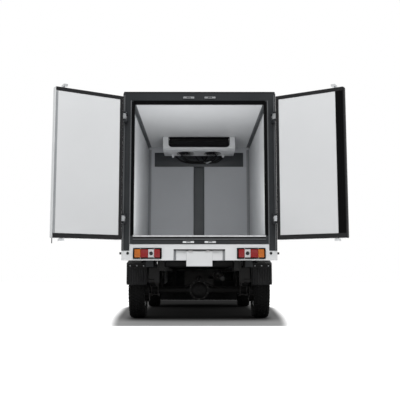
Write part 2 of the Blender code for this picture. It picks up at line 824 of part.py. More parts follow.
def make_box(body, panel, dark, steel):
    rear = FRAME_DEPTH + SEAT_GAP
    inner = INSIDE_HALF - SEAT_GAP
    floor = piece("box_floor", box((-inner, inner), (rear, BOX_INSIDE - SEAT_GAP),
                                   (SILL_LOW, FLOOR_TOP)), body, dark)
    for index in range(BEARER_COUNT):
        middle = BEARER_REAR + index * BEARER_PITCH
        add(floor, box((-BEARER_HALF, BEARER_HALF),
                       (middle - BEARER_WIDTH / 2, middle + BEARER_WIDTH / 2),
                       (BEARER_LOW, SILL_LOW + WELD_LAP)))
    for label, side in SIDES:
        piece("runner_" + label, box((side * RAIL_INNER, side * RAIL_OUTER),
                                     (rear + OVERRUN, BOX_FRONT - OVERRUN),
                                     (RAIL_TOP + SEAT_GAP, BEARER_LOW - SEAT_GAP)), body, steel)
    wall_top = CEILING - SEAT_GAP
    for label, side in SIDES:
        outline = rounded([(side * INSIDE_HALF, rear), (side * BOX_HALF, rear),
                           (side * BOX_HALF, BOX_FRONT), (side * INSIDE_HALF, BOX_FRONT)],
                          EDGE_ROUND, 1)
        piece("box_wall_" + label, prism(outline, "Z", (SILL_LOW, wall_top)), body, panel)
    piece("box_front_wall", box((-inner, inner), (BOX_INSIDE, BOX_FRONT), (SILL_LOW, wall_top)),
          body, panel)
    half = BOX_HALF
    corners = [(-half, CEILING), (half, CEILING), (half, ROOF_TOP - ROOF_ROUND),
               (half - ROOF_ROUND / 3, ROOF_TOP - ROOF_ROUND / 3),
               (half - ROOF_ROUND, ROOF_TOP), (ROOF_ROUND - half, ROOF_TOP),
               (ROOF_ROUND / 3 - half, ROOF_TOP - ROOF_ROUND / 3), (-half, ROOF_TOP - ROOF_ROUND)]
    piece("box_roof", prism(corners, "Y", (rear, BOX_FRONT)), body, panel)


def hinge_heights():
    return [DOOR_LOW + (DOOR_TOP - DOOR_LOW) * share for share in HINGE_SHARES]


def make_rear_frame(body, material):
    outline = [(-FRAME_HALF, POST_FOOT), (FRAME_HALF, POST_FOOT),
               (FRAME_HALF, FRAME_TOP - FRAME_CHAMFER), (FRAME_HALF - FRAME_CHAMFER, FRAME_TOP),
               (FRAME_CHAMFER - FRAME_HALF, FRAME_TOP), (-FRAME_HALF, FRAME_TOP - FRAME_CHAMFER)]
    frame = piece("box_rear_frame", prism(outline, "Y", (0, FRAME_DEPTH)), body, material)
    through = (-OVERRUN, FRAME_DEPTH + OVERRUN)
    cut(frame, box((-JAMB_HALF, JAMB_HALF), through, (FLOOR_TOP, HEADER_LOW)),
        box((FOOT_WIDTH - FRAME_HALF, FRAME_HALF - FOOT_WIDTH), through,
            (POST_FOOT - OVERRUN, SILL_LOW)))
    ear_inner = KNUCKLE_HALF + EAR_CLEAR
    ear_outer = ear_inner + EAR_THICK
    for label, side in SIDES:
        for height in hinge_heights():
            for way in (-1, 1):
                ends = (height + way * ear_inner, height + way * ear_outer)
                root = [(PIN_X - EAR_FOOT, WELD_LAP), (PIN_X + KNUCKLE_ROUND, WELD_LAP)]
                add(frame, prism(eye(side, root), "Z", ends))
            add(frame, rod((side * PIN_X, PIN_Y, height - ear_outer + WELD_LAP),
                           (side * PIN_X, PIN_Y, height + ear_outer - WELD_LAP), PIN_RADIUS))
        for height in (SILL_LOW + KEEPER_LIFT, ROD_TOP - CAM_THICK / 2):
            add(frame, box((side * (ROD_X - KEEPER_HALF), side * (ROD_X + KEEPER_HALF)),
                           (-KEEPER_THICK, WELD_LAP),
                           (height - KEEPER_TALL / 2, height + KEEPER_TALL / 2)))


def make_rear_door(hinge, label, side, skin, steel):
    outer = -DOOR_CLEAR - DOOR_THICK
    door = piece("rear_door_" + label,
                 box((side * DOOR_INNER, side * DOOR_OUTER), (outer, -DOOR_CLEAR),
                     (DOOR_LOW, DOOR_TOP)), hinge, skin)
    round_edges(door, DOOR_ROUND, 1)
    for height in hinge_heights():
        ends = (height - KNUCKLE_HALF, height + KNUCKLE_HALF)
        root = [(DOOR_OUTER, outer - STRAP_THICK), (PIN_X - STRAP_LENGTH, outer - STRAP_THICK),
                (PIN_X - STRAP_LENGTH, outer + WELD_LAP), (DOOR_OUTER, outer + WELD_LAP)]
        add(door, prism(eye(side, root), "Z", ends))
        cut(door, rod((side * PIN_X, PIN_Y, ends[0] - OVERRUN),
                      (side * PIN_X, PIN_Y, ends[1] + OVERRUN), PIN_BORE))
    face = outer - SEAT_GAP
    rod_y = face - ROD_STAND
    gear = piece("lock_gear_" + label, rod((side * ROD_X, rod_y, ROD_LOW),
                                           (side * ROD_X, rod_y, ROD_TOP), ROD_RADIUS),
                 hinge, steel)
    for low in (ROD_LOW, ROD_TOP - CAM_THICK):
        add(gear, box((side * (ROD_X - CAM_HALF), side * (ROD_X + CAM_HALF)),
                      (rod_y - ROD_RADIUS, -CAM_REACH), (low, low + CAM_THICK)))
    for share in GUIDE_SHARES:
        height = DOOR_LOW + (DOOR_TOP - DOOR_LOW) * share
        add(gear, box((side * (ROD_X - GUIDE_HALF), side * (ROD_X + GUIDE_HALF)),
                      (rod_y, face), (height - GUIDE_TALL / 2, height + GUIDE_TALL / 2)))
    handle_x = ROD_X + HANDLE_REACH
    handle = DOOR_LOW + HANDLE_LIFT
    grip = rod_y - ROD_RADIUS
    add(gear, box((side * ROD_X, side * handle_x), (grip - HANDLE_THICK / 2, rod_y),
                  (handle - HANDLE_TALL / 2, handle + HANDLE_TALL / 2)),
        box((side * (handle_x - GUIDE_HALF), side * (handle_x + GUIDE_HALF)),
            (rod_y - SEAT_GAP, face), (handle - GUIDE_TALL, handle + GUIDE_TALL)))


def make_rear_bumper(body, skin, lens):
    top = SILL_LOW - SEAT_GAP
    step = POST_FOOT - SEAT_GAP
    inner = FRAME_HALF - FOOT_WIDTH - SEAT_GAP
    outline = [(-FRAME_HALF, BUMPER_LOW), (FRAME_HALF, BUMPER_LOW), (FRAME_HALF, step),
               (inner, step), (inner, top), (-inner, top), (-inner, step), (-FRAME_HALF, step)]
    bumper = piece("rear_bumper", prism(outline, "Y", (BUMPER_SHY, FRAME_DEPTH)), body, skin)
    back = BUMPER_SHY + RECESS_DEPTH
    cut(bumper, box((-RECESS_HALF, RECESS_HALF), (-OVERRUN, back),
                    (BUMPER_LOW - OVERRUN, BUMPER_LOW + RECESS_TALL)))
    add(bumper, box((-BOARD_HALF, BOARD_HALF), (back - BOARD_THICK, back + BOARD_THICK / 2),
                    (BOARD_LOW, BOARD_LOW + BOARD_TALL)))
    for label, side in SIDES:
        cut(bumper, box((side * LAMP_INNER, side * LAMP_OUTER),
                        (-OVERRUN, FRAME_DEPTH + OVERRUN), (LAMP_LOW, LAMP_TOP)))
        arm = RAIL_OUTER + SEAT_GAP
        add(bumper, box((side * arm, side * (LAMP_INNER - SEAT_GAP)),
                        (FRAME_DEPTH - WELD_LAP, FRAME_DEPTH), (BUMPER_LOW, BUMPER_LOW + WELD_LAP)),
            box((side * arm, side * (arm + BUMPER_ARM_THICK)),
                (FRAME_DEPTH - WELD_LAP, FRAME_DEPTH + BUMPER_ARM_REACH),
                (RAIL_LOW + BUMPER_ARM_LAP, BUMPER_LOW + WELD_LAP)))
        gap = SEAT_GAP
        lamp = piece("tail_lamp_" + label,
                     box((side * (LAMP_INNER + gap), side * (LAMP_OUTER - gap)),
                         (-LAMP_PROUD, FRAME_DEPTH - gap), (LAMP_LOW + gap, LAMP_TOP - gap)),
                     body, lens)
        round_edges(lamp, LAMP_ROUND)


def make_cooling(body, housing, rubber):
    top = CEILING - SEAT_GAP
    outline = [(EVAPORATOR_REAR, top), (EVAPORATOR_FRONT, top),
               (EVAPORATOR_FRONT, EVAPORATOR_LOW),
               (EVAPORATOR_REAR + EVAPORATOR_SLOPE, EVAPORATOR_LOW),
               (EVAPORATOR_REAR, EVAPORATOR_LOW + EVAPORATOR_SLOPE / 2)]
    unit = piece("evaporator", prism(outline, "X", (-EVAPORATOR_HALF, EVAPORATOR_HALF)), body,
                 housing)
    mouth_low = top - WELD_LAP - OUTLET_TALL
    half = EVAPORATOR_HALF - OUTLET_EDGE
    mouth = rounded([(-half, mouth_low), (half, mouth_low), (half, top - WELD_LAP),
                     (-half, top - WELD_LAP)], OUTLET_ROUND, 2)
    cut(unit, prism(mouth, "Y", (EVAPORATOR_REAR - OVERRUN, EVAPORATOR_REAR + OUTLET_DEPTH)))
    middle = (EVAPORATOR_REAR + OUTLET_DEPTH + EVAPORATOR_FRONT) / 2
    for label, side in SIDES:
        cut(unit, rod((side * FAN_X, middle, EVAPORATOR_LOW - OVERRUN),
                      (side * FAN_X, middle, EVAPORATOR_LOW + FAN_DEPTH), FAN_RADIUS,
                      FAN_SIDES))
    high = EVAPORATOR_LOW - SEAT_GAP
    place = EVAPORATOR_FRONT - HOSE_BACK
    route = [(-HOSE_HALF, place, high)]
    for step in range(HOSE_POINTS + 1):
        share = 2 * step / HOSE_POINTS - 1
        route.append((HOSE_HALF * share, place,
                      high - HOSE_RADIUS - HOSE_SAG * (1 - share ** 4)))
    route.append((HOSE_HALF, place, high))
    piece("evaporator_hose", swept(route, HOSE_RADIUS, HOSE_SIDES), body, rubber)
    wall = BOX_FRONT + SEAT_GAP
    front = wall + CONDENSER_DEPTH
    corners = [(wall, CONDENSER_LOW), (front - CONDENSER_NOSE / 2, CONDENSER_LOW),
               (front, CONDENSER_LOW + CONDENSER_NOSE), (front - CONDENSER_NOSE, CONDENSER_TOP),
               (wall, CONDENSER_TOP)]
    condenser = piece("condenser_unit", prism(corners, "X", (-CONDENSER_HALF, CONDENSER_HALF)),
                      body, housing)
    round_edges(condenser, CONDENSER_ROUND)


def make_wheel(spindle, name, side, place, rubber, steel):
    centre = (side * TRACK_HALF, place, AXLE_HEIGHT)
    seat = RIM_RADIUS + TYRE_SEAT
    depth = TYRE_RADIUS - seat
    half = TYRE_WIDTH / 2
    flank = [(half * wide, seat + depth * high) for wide, high in TYRE_SHARES]
    profile = flank + [(-wide, high) for wide, high in reversed(flank)]
    piece("tyre_" + name, turned(profile, centre, side), spindle, rubber)
    edge = RIM_WIDTH / 2
    rim = seat - SEAT_GAP
    web = WEB_PLACE + WEB_THICK
    profile = [(-edge, rim), (edge, rim), (edge, rim - RIM_WALL / 2),
               (web + RIM_WALL, rim - RIM_WALL), (web, HUB_RADIUS * DISH_SHARE), (web, HUB_RADIUS),
               (web + HUB_PROUD, HUB_RADIUS * HUB_NOSE_SHARE), (web + HUB_PROUD, 0),
               (WEB_PLACE, 0),
               (WEB_PLACE, rim - RIM_WALL), (-edge, rim - RIM_WALL / 2)]
    piece("rim_" + name, turned(profile, centre, side), spindle, steel)


def drive_point(distance):
    """Point on the line of the propeller shaft, at a distance from the rear axle."""
    start = Vector((0, REAR_AXLE, AXLE_HEIGHT))
    end = Vector((0, GEARBOX_REAR + WELD_LAP, (GEARBOX_LOW + RAIL_LOW) / 2))
    return start + (end - start).normalized() * distance


def make_rear_axle(body, steel):
    end = TRACK_HALF + WEB_PLACE - RUN_GAP
    axle = piece("rear_axle", rod((-end, REAR_AXLE, AXLE_HEIGHT), (end, REAR_AXLE, AXLE_HEIGHT),
                                  AXLE_RADIUS), body, steel)
    ball = bmesh.new()
    bmesh.ops.create_uvsphere(ball, u_segments=DIFF_SIDES, v_segments=DIFF_SIDES // 2,
                              radius=DIFF_RADIUS,
                              matrix=Matrix.Translation((0, REAR_AXLE, AXLE_HEIGHT)))
    add(axle, ball, rod(drive_point(0), drive_point(DIFF_NOSE), DIFF_RADIUS * DIFF_NECK_SHARE,
                        end_radius=DIFF_NOSE_RADIUS))
    for label, side in SIDES:
        add(axle, rod((side * DRUM_INNER, REAR_AXLE, AXLE_HEIGHT),
                      (side * (DRUM_INNER + DRUM_WIDTH), REAR_AXLE, AXLE_HEIGHT), DRUM_RADIUS,
                      DRUM_SIDES))
        lower = (side * DAMPER_X, REAR_AXLE + AXLE_RADIUS, AXLE_HEIGHT + AXLE_RADIUS / 2)
        upper = (side * DAMPER_X, REAR_AXLE + DAMPER_LEAN, DAMPER_TOP)
        add(axle, rod(lower, upper, DAMPER_RADIUS),
            rod((side * (RAIL_OUTER + SEAT_GAP), upper[1], DAMPER_TOP - DAMPER_RADIUS),
                (side * (DAMPER_X + DAMPER_RADIUS), upper[1], DAMPER_TOP - DAMPER_RADIUS),
                DAMPER_RADIUS))


def make_rear_spring(body, label, side, steel):
    """Leaf spring on a saddle over the axle tube, between two hangers beside the rail."""
    seat = AXLE_HEIGHT + AXLE_RADIUS + SEAT_GAP
    high = seat + WELD_LAP + SPRING_THICK / 2
    path = []
    for step in range(SPRING_STEPS + 1):
        share = 2 * step / SPRING_STEPS - 1
        path.append((REAR_AXLE + SPRING_HALF * share, high + SPRING_RISE * share ** 2))
    ends = (side * SPRING_INNER, side * SPRING_OUTER)
    spring = piece("rear_spring_" + label, prism(band(path, SPRING_THICK), "X", ends), body, steel)
    add(spring, box(ends, (REAR_AXLE - SADDLE_HALF, REAR_AXLE + SADDLE_HALF), (seat, high)))
    for way in (-1, 1):
        middle = REAR_AXLE + way * (SPRING_HALF - HANGER_THICK / 2)
        add(spring, box((side * (RAIL_OUTER + SEAT_GAP), side * SPRING_OUTER),
                        (middle - HANGER_THICK / 2, middle + HANGER_THICK / 2),
                        (high + SPRING_RISE / 2, high + SPRING_RISE + HANGER_RISE)))


def make_front_suspension(body, steel):
    top = RAIL_LOW - SEAT_GAP
    beam = piece("front_suspension",
                 box((-RAIL_OUTER, RAIL_OUTER), (FRONT_AXLE - BEAM_HALF, FRONT_AXLE + BEAM_HALF),
                     (BEAM_LOW, BEAM_TOP)), body, steel)
    yoke_low = KINGPIN_LOW - YOKE_CLEAR
    yoke_top = KINGPIN_TOP + YOKE_CLEAR
    along = (FRONT_AXLE - YOKE_HALF, FRONT_AXLE + YOKE_HALF)
    tip = KINGPIN_X + YOKE_HALF
    for label, side in SIDES:
        post = (side * (RAIL_OUTER - BEAM_POST), side * RAIL_OUTER)
        add(beam, box(post, (FRONT_AXLE - BEAM_HALF / 2, FRONT_AXLE + BEAM_HALF / 2),
                      (BEAM_LOW, top)),
            box((side * (RAIL_OUTER - BEAM_POST), side * tip), along,
                (yoke_low - YOKE_THICK, yoke_low)),
            box((side * (RAIL_OUTER - BEAM_POST), side * tip), along,
                (yoke_top, yoke_top + YOKE_THICK)),
            rod((side * STRUT_X, FRONT_AXLE, yoke_top), (side * STRUT_X, FRONT_AXLE,
                                                         CAB_FLOOR_LOW - SEAT_GAP), STRUT_RADIUS))


def make_knuckle(pivot, label, side, steel):
    pin = rod((side * KINGPIN_X, FRONT_AXLE, KINGPIN_LOW), (side * KINGPIN_X, FRONT_AXLE,
                                                            KINGPIN_TOP), KINGPIN_RADIUS)
    knuckle = piece("knuckle_" + label, pin, pivot, steel)
    end = TRACK_HALF + WEB_PLACE - RUN_GAP
    add(knuckle, rod((side * KINGPIN_X, FRONT_AXLE, AXLE_HEIGHT),
                     (side * end, FRONT_AXLE, AXLE_HEIGHT), SPINDLE_RADIUS),
        rod((side * DISC_INNER, FRONT_AXLE, AXLE_HEIGHT),
            (side * (DISC_INNER + DISC_THICK), FRONT_AXLE, AXLE_HEIGHT), DISC_RADIUS, 20))


def make_drive_line(body, metal, pipe, tank_skin):
    engine = piece("powertrain", box((-ENGINE_HALF, ENGINE_HALF), (ENGINE_REAR, ENGINE_FRONT),
                                     (ENGINE_LOW, ENGINE_TOP)), body, metal)
    member = (MEMBER_REAR, MEMBER_REAR + MEMBER_WIDTH)
    clear = RAIL_INNER - SEAT_GAP
    add(engine, box((-GEARBOX_HALF, GEARBOX_HALF), (GEARBOX_REAR, ENGINE_REAR + WELD_LAP),
                    (GEARBOX_LOW, RAIL_LOW)),
        box((-MEMBER_POST, MEMBER_POST), member, (RAIL_LOW - WELD_LAP, MEMBER_LOW + WELD_LAP)),
        box((-clear, clear), member, (MEMBER_LOW, MEMBER_LOW + MEMBER_TALL)),
        rod(drive_point(DIFF_NOSE + RUN_GAP),
            (0, GEARBOX_REAR + WELD_LAP, (GEARBOX_LOW + RAIL_LOW) / 2), SHAFT_RADIUS))
    tank = piece("fuel_tank", box((-RAIL_OUTER - SEAT_GAP, -RAIL_OUTER - TANK_WIDTH),
                                  (TANK_REAR, TANK_REAR + TANK_LENGTH),
                                  (TANK_TOP - TANK_TALL, TANK_TOP)), body, tank_skin)
    round_edges(tank, TANK_ROUND)
    middle = SILENCER_X
    high = SILENCER_HEIGHT
    port = (ENGINE_HALF + GEARBOX_HALF) / 2
    stub = (port, ENGINE_REAR - SEAT_GAP, high - PIPE_SWING)
    start = [(port, ENGINE_REAR - PIPE_RADIUS, high - PIPE_SWING),
             (port, ENGINE_REAR - PIPE_RUN, high - PIPE_SWING),
             (middle, MEMBER_REAR + MEMBER_WIDTH, high - PIPE_SWING),
             (middle, SILENCER_FRONT - WELD_LAP, high)]
    tail = [(middle, SILENCER_REAR + WELD_LAP, high),
            (middle, REAR_AXLE + SPRING_HALF / 2, high + PIPE_SWING),
            (middle, REAR_AXLE, high + PIPE_SWING), (middle, FLAP_PLACE, high),
            (middle, PIPE_END, high - PIPE_SWING)]
    exhaust = piece("exhaust", rod((middle, SILENCER_REAR, high), (middle, SILENCER_FRONT, high),
                                   SILENCER_RADIUS, SILENCER_SIDES), body, pipe)
    hanger = (SILENCER_REAR + SILENCER_FRONT) / 2
    add(exhaust, swept([stub, *eased(start, CORNER_STEPS)], PIPE_RADIUS, PIPE_SIDES),
        swept(eased(tail, CORNER_STEPS), PIPE_RADIUS, PIPE_SIDES),
        box((middle, clear), (hanger - STRAP_HALF, hanger + STRAP_HALF),
            (high + SILENCER_RADIUS - WELD_LAP, high + SILENCER_RADIUS + STRAP_HALF)))


def make_mudguard(body, label, side, rubber):
    path = []
    for step in range(GUARD_STEPS + 1):
        share = step / GUARD_STEPS
        angle = GUARD_FRONT_ANGLE + (GUARD_REAR_ANGLE - GUARD_FRONT_ANGLE) * share
        path.append((REAR_AXLE - GUARD_RADIUS * math.cos(angle),
                     AXLE_HEIGHT + GUARD_RADIUS * math.sin(angle)))
    path += [(FLAP_PLACE, FLAP_TOP), (FLAP_PLACE, FLAP_LOW)]
    guard = piece("mudguard_" + label,
                  prism(band(path, GUARD_THICK), "X", (side * GUARD_INNER, side * GUARD_OUTER)),
                  body, rubber)
    add(guard, box((side * (GUARD_INNER + WELD_LAP), side * BEARER_HALF),
                   (REAR_AXLE - GUARD_POST_HALF, REAR_AXLE + GUARD_POST_HALF),
                   (AXLE_HEIGHT + GUARD_RADIUS, BEARER_LOW - SEAT_GAP)))


def make_cab(body, skin, dark, glass, lens):
    shell = piece("cab_shell", cab_hull(0, CAB_LOW, CAB_TOP), body, skin)
    cut(shell, cab_hull(CAB_WALL, CAB_LOW - OVERRUN, CAB_TOP - CAB_WALL))
    middle = (CAB_REAR + CAB_FRONT) / 2
    beyond = CAB_FRONT + OVERRUN
    cut(shell, prism(rounded(screen_corners(), SCREEN_ROUND), "Y", (middle, beyond)),
        box((-FRAME_HALF, FRAME_HALF), (NOSE_BUMPER_REAR - SEAT_GAP, beyond),
            (CAB_LOW - OVERRUN, NOSE_BUMPER_TOP + SEAT_GAP)))
    skirt = CAB_HALF - CAB_SKIRT_WIDTH
    cut(shell, box((-skirt, skirt), (CAB_REAR - OVERRUN, middle),
                   (CAB_LOW - OVERRUN, CAB_FLOOR_LOW)))
    door = rounded(side_door_corners(), SIDE_DOOR_ROUND)
    for label, side in SIDES:
        cut(shell, prism(door, "X", (side * SIDE_DOOR_REACH, side * FRAME_HALF)),
            rod((side * RAIL_OUTER, FRONT_AXLE, AXLE_HEIGHT),
                (side * FRAME_HALF, FRONT_AXLE, AXLE_HEIGHT), ARCH_RADIUS, ARCH_SIDES),
            prism(rounded(headlamp_corners(side), HEADLAMP_ROUND), "Y", (middle, beyond)))
        inside = rounded(shrunk(headlamp_corners(side), SEAT_GAP), HEADLAMP_ROUND)
        lamp = piece("headlamp_" + label, prism(inside, "Y", (middle, beyond)), body, lens)
        trim(lamp, cab_hull(HEADLAMP_SHY, CAB_LOW, CAB_TOP))
        cut(lamp, cab_hull(CAB_WALL - SEAT_GAP, CAB_LOW, CAB_TOP))
    floor = piece("cab_floor", cab_hull(CAB_WALL + SEAT_GAP, CAB_FLOOR_LOW, CAB_FLOOR_TOP), body,
                  dark)
    for label, side in SIDES:
        for place in (CAB_REAR + MOUNT_EDGE, CAB_FRONT - MOUNT_NOSE):
            add(floor, box((side * RAIL_INNER, side * RAIL_OUTER),
                           (place - MOUNT_HALF, place + MOUNT_HALF),
                           (RAIL_TOP + SEAT_GAP, CAB_FLOOR_LOW + WELD_LAP)))
    pane = rounded(shrunk(screen_corners(), SEAT_GAP), SCREEN_ROUND)
    screen = piece("windscreen", prism(pane, "Y", (middle, beyond)), body, glass)
    trim(screen, cab_hull(GLASS_INSET, CAB_LOW, CAB_TOP))
    cut(screen, cab_hull(GLASS_INSET + GLASS_THICK, CAB_LOW, CAB_TOP))
    make_nose_bumper(body, dark)


def make_nose_bumper(body, material):
    proud = -NOSE_BUMPER_PROUD
    rings = [cab_ring(NOSE_BUMPER_LOW, proud + NOSE_BUMPER_TUCK, NOSE_BUMPER_TOP),
             cab_ring(NOSE_BUMPER_LOW + NOSE_BUMPER_TUCK, proud, NOSE_BUMPER_TOP),
             cab_ring(NOSE_BUMPER_TOP, proud, NOSE_BUMPER_TOP)]
    bumper = piece("front_bumper", loft(rings), body, material)
    inner = NOSE_BUMPER_WALL - NOSE_BUMPER_PROUD
    hollow = [cab_ring(NOSE_BUMPER_LOW - OVERRUN, inner, NOSE_BUMPER_TOP),
              cab_ring(NOSE_BUMPER_TOP + OVERRUN, inner, NOSE_BUMPER_TOP)]
    cut(bumper, loft(hollow), box((-2 * CAB_HALF, 2 * CAB_HALF), (0, NOSE_BUMPER_REAR),
                                  (0, NOSE_BUMPER_TOP + OVERRUN)))
    wall = cab_sizes(NOSE_BUMPER_TOP)[0] - inner
    for label, side in SIDES:
        middle = side * (RAIL_INNER + RAIL_OUTER) / 2
        add(bumper, box((middle - NOSE_ARM_HALF, middle + NOSE_ARM_HALF),
                        (RAIL_FRONT + SEAT_GAP, wall + NOSE_BUMPER_WALL / 2),
                        (NOSE_BUMPER_TOP - NOSE_ARM_TALL, NOSE_BUMPER_TOP)))


def make_side_door(hinge, label, side, skin, glass, dark):
    corners = shrunk(side_door_corners(), SIDE_DOOR_GAP)
    ends = (side * SIDE_DOOR_REACH, side * (CAB_HALF + OVERRUN))
    door = piece("cab_door_" + label,
                 prism(rounded(corners, SIDE_DOOR_ROUND - SIDE_DOOR_GAP), "X", ends), hinge, skin)
    trim(door, cab_hull(0, CAB_LOW, CAB_TOP))
    cut(door, cab_hull(CAB_WALL, CAB_LOW, CAB_TOP),
        prism(rounded(window_corners(), SIDE_DOOR_ROUND), "X", ends))
    pane = rounded(shrunk(window_corners(), SEAT_GAP), SIDE_DOOR_ROUND)
    window = piece("door_glass_" + label, prism(pane, "X", ends), hinge, glass)
    trim(window, cab_hull(GLASS_INSET, CAB_LOW, CAB_TOP))
    cut(window, cab_hull(GLASS_INSET + GLASS_THICK, CAB_LOW, CAB_TOP))
    head = rounded([(side * MIRROR_INNER, MIRROR_LOW), (side * MIRROR_OUTER, MIRROR_LOW),
                    (side * MIRROR_OUTER, MIRROR_TOP), (side * MIRROR_INNER, MIRROR_TOP)],
                   MIRROR_ROUND)
    mirror = piece("mirror_" + label,
                   prism(head, "Y", (MIRROR_PLACE - MIRROR_THICK / 2,
                                     MIRROR_PLACE + MIRROR_THICK / 2)), hinge, dark)
    height = MIRROR_LOW + MIRROR_ROUND * 2
    add(mirror, rod((side * (CAB_HALF - CAB_WALL / 2), MIRROR_PLACE, height),
                    (side * (MIRROR_INNER + MIRROR_ROUND), MIRROR_PLACE, height), MIRROR_ARM))
    cut(mirror, cab_hull(-SEAT_GAP, CAB_LOW, CAB_TOP))


def make_cab_inside(body, dark, cloth):
    dash = piece("dashboard", box((-CAB_HALF, CAB_HALF), (DASH_REAR, CAB_FRONT),
                                  (DASH_LOW, DASH_TOP)), body, dark)
    trim(dash, cab_hull(CAB_WALL + SEAT_GAP, CAB_LOW, CAB_TOP))
    hub = Vector((-SEAT_X, WHEEL_PLACE, WHEEL_HEIGHT))
    foot = hub + Vector((0, COLUMN_RUN, -COLUMN_DROP))
    wheel = piece("steering_wheel", rod(hub, foot, COLUMN_RADIUS), body, dark)
    ahead = (foot - hub).normalized()
    across = Vector((1, 0, 0))
    other = ahead.cross(across)
    ring = []
    for step in range(WHEEL_RING_SIDES):
        angle = 2 * math.pi * (step + 0.5) / WHEEL_RING_SIDES
        out = math.cos(angle) * across + math.sin(angle) * other
        section = []
        for turn in range(GRIP_SIDES):
            bend = 2 * math.pi * (turn + 0.5) / GRIP_SIDES
            section.append(hub + out * (WHEEL_RADIUS + WHEEL_GRIP * math.cos(bend))
                           + ahead * WHEEL_GRIP * math.sin(bend))
        ring.append(section)
    torus = bmesh.new()
    rows = [[torus.verts.new(point) for point in section] for section in ring]
    for index, row in enumerate(rows):
        far = rows[(index + 1) % len(rows)]
        for place in range(len(row)):
            after = (place + 1) % len(row)
            torus.faces.new((row[place], row[after], far[after], far[place]))
    add(wheel, rod(hub - ahead * WHEEL_GRIP, hub + ahead * WHEEL_HUB, WHEEL_HUB), torus,
        *[rod(hub + way * WHEEL_HUB / 2, hub + way * WHEEL_RADIUS, WHEEL_GRIP * SPOKE_SHARE,
              HOSE_SIDES)
          for way in (-across, across, other)])
    cut(wheel, box((-CAB_HALF, CAB_HALF), (DASH_REAR - SEAT_GAP, CAB_FRONT),
                   (CAB_FLOOR_TOP, CAB_TOP)))
    for label, side in SIDES:
        outline = [(SEAT_REAR, SEAT_LOW), (SEAT_FRONT, SEAT_LOW), (SEAT_FRONT, SEAT_TOP),
                   (SEAT_REAR + SEAT_BACK_THICK + SEAT_INSET, SEAT_TOP),
                   (SEAT_REAR + SEAT_BACK_THICK, SEAT_BACK_TOP),
                   (SEAT_REAR - SEAT_INSET / 2, SEAT_BACK_TOP)]
        ends = (side * (SEAT_X - SEAT_HALF), side * (SEAT_X + SEAT_HALF))
        seat = piece("seat_" + label, prism(rounded(outline, SEAT_ROUND, 2), "X", ends), body,
                     cloth)
        add(seat, box((side * (SEAT_X - SEAT_HALF + SEAT_INSET),
                       side * (SEAT_X + SEAT_HALF - SEAT_INSET)),
                      (SEAT_REAR + SEAT_INSET, SEAT_FRONT - SEAT_INSET),
                      (CAB_FLOOR_TOP + SEAT_GAP, SEAT_LOW + WELD_LAP)))


def make_truck():
    clear_scene()
    white = finish("white_panel", (0.80, 0.81, 0.80), 0.35)
    charcoal = finish("charcoal_paint", (0.035, 0.036, 0.040), 0.5)
    steel = finish("black_steel", (0.03, 0.03, 0.03), 0.6, 0.3)
    bright = finish("bright_steel", (0.62, 0.63, 0.64), 0.35, 0.9)
    rim_paint = finish("silver_wheel", (0.45, 0.46, 0.47), 0.4, 0.6)
    rubber = finish("black_rubber", (0.02, 0.02, 0.02), 0.85)
    plastic = finish("grey_plastic", (0.10, 0.10, 0.11), 0.6)
    housing = finish("pale_housing", (0.62, 0.63, 0.63), 0.45)
    cast = finish("cast_metal", (0.25, 0.25, 0.25), 0.6, 0.5)
    lens = finish("lamp_lens", (0.55, 0.05, 0.03), 0.2)
    clear_lens = finish("clear_lens", (0.70, 0.72, 0.74), 0.15)
    glass = finish("tinted_glass", (0.10, 0.12, 0.12), 0.05)
    cloth = finish("seat_cloth", (0.12, 0.12, 0.13), 0.9)

    bumper_front = cab_sizes(NOSE_BUMPER_TOP)[0] + NOSE_BUMPER_PROUD
    truck = empty("truck", (0, -(bumper_front + rear_reach()) / 2, 0))
    make_rails(truck, steel)
    make_box(truck, white, plastic, steel)
    make_rear_frame(truck, charcoal)
    make_rear_bumper(truck, white, lens)
    make_cooling(truck, housing, rubber)
    make_rear_axle(truck, steel)
    make_front_suspension(truck, steel)
    make_drive_line(truck, cast, bright, plastic)
    make_cab(truck, white, plastic, glass, clear_lens)
    make_cab_inside(truck, plastic, cloth)
    for label, side in SIDES:
        make_mudguard(truck, label, side, rubber)
        make_rear_spring(truck, label, side, steel)
        pin = empty("rear_hinge_" + label, (side * PIN_X, PIN_Y, DOOR_LOW), truck,
                    side * DOOR_ANGLE)
        make_rear_door(pin, label, side, white, bright)
        front = SIDE_DOOR_FRONT - SIDE_DOOR_GAP / 2
        pin = empty("cab_hinge_" + label, (side * SIDE_PIN_X, front, SIDE_DOOR_LOW), truck)
        make_side_door(pin, label, side, white, glass, plastic)
        king = empty("kingpin_" + label, (side * KINGPIN_X, FRONT_AXLE, AXLE_HEIGHT), truck)
        make_knuckle(king, label, side, cast)
        centre = (side * TRACK_HALF, FRONT_AXLE, AXLE_HEIGHT)
        spindle = empty("front_spindle_" + label, centre, king)
        make_wheel(spindle, "front_" + label, side, FRONT_AXLE, rubber, rim_paint)
        centre = (side * TRACK_HALF, REAR_AXLE, AXLE_HEIGHT)
        spindle = empty("rear_spindle_" + label, centre, truck)
        make_wheel(spindle, "rear_" + label, side, REAR_AXLE, rubber, rim_paint)


make_truck()
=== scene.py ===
import math

import bmesh
import bpy
from mathutils import Matrix, Vector
from mathutils.bvhtree import BVHTree


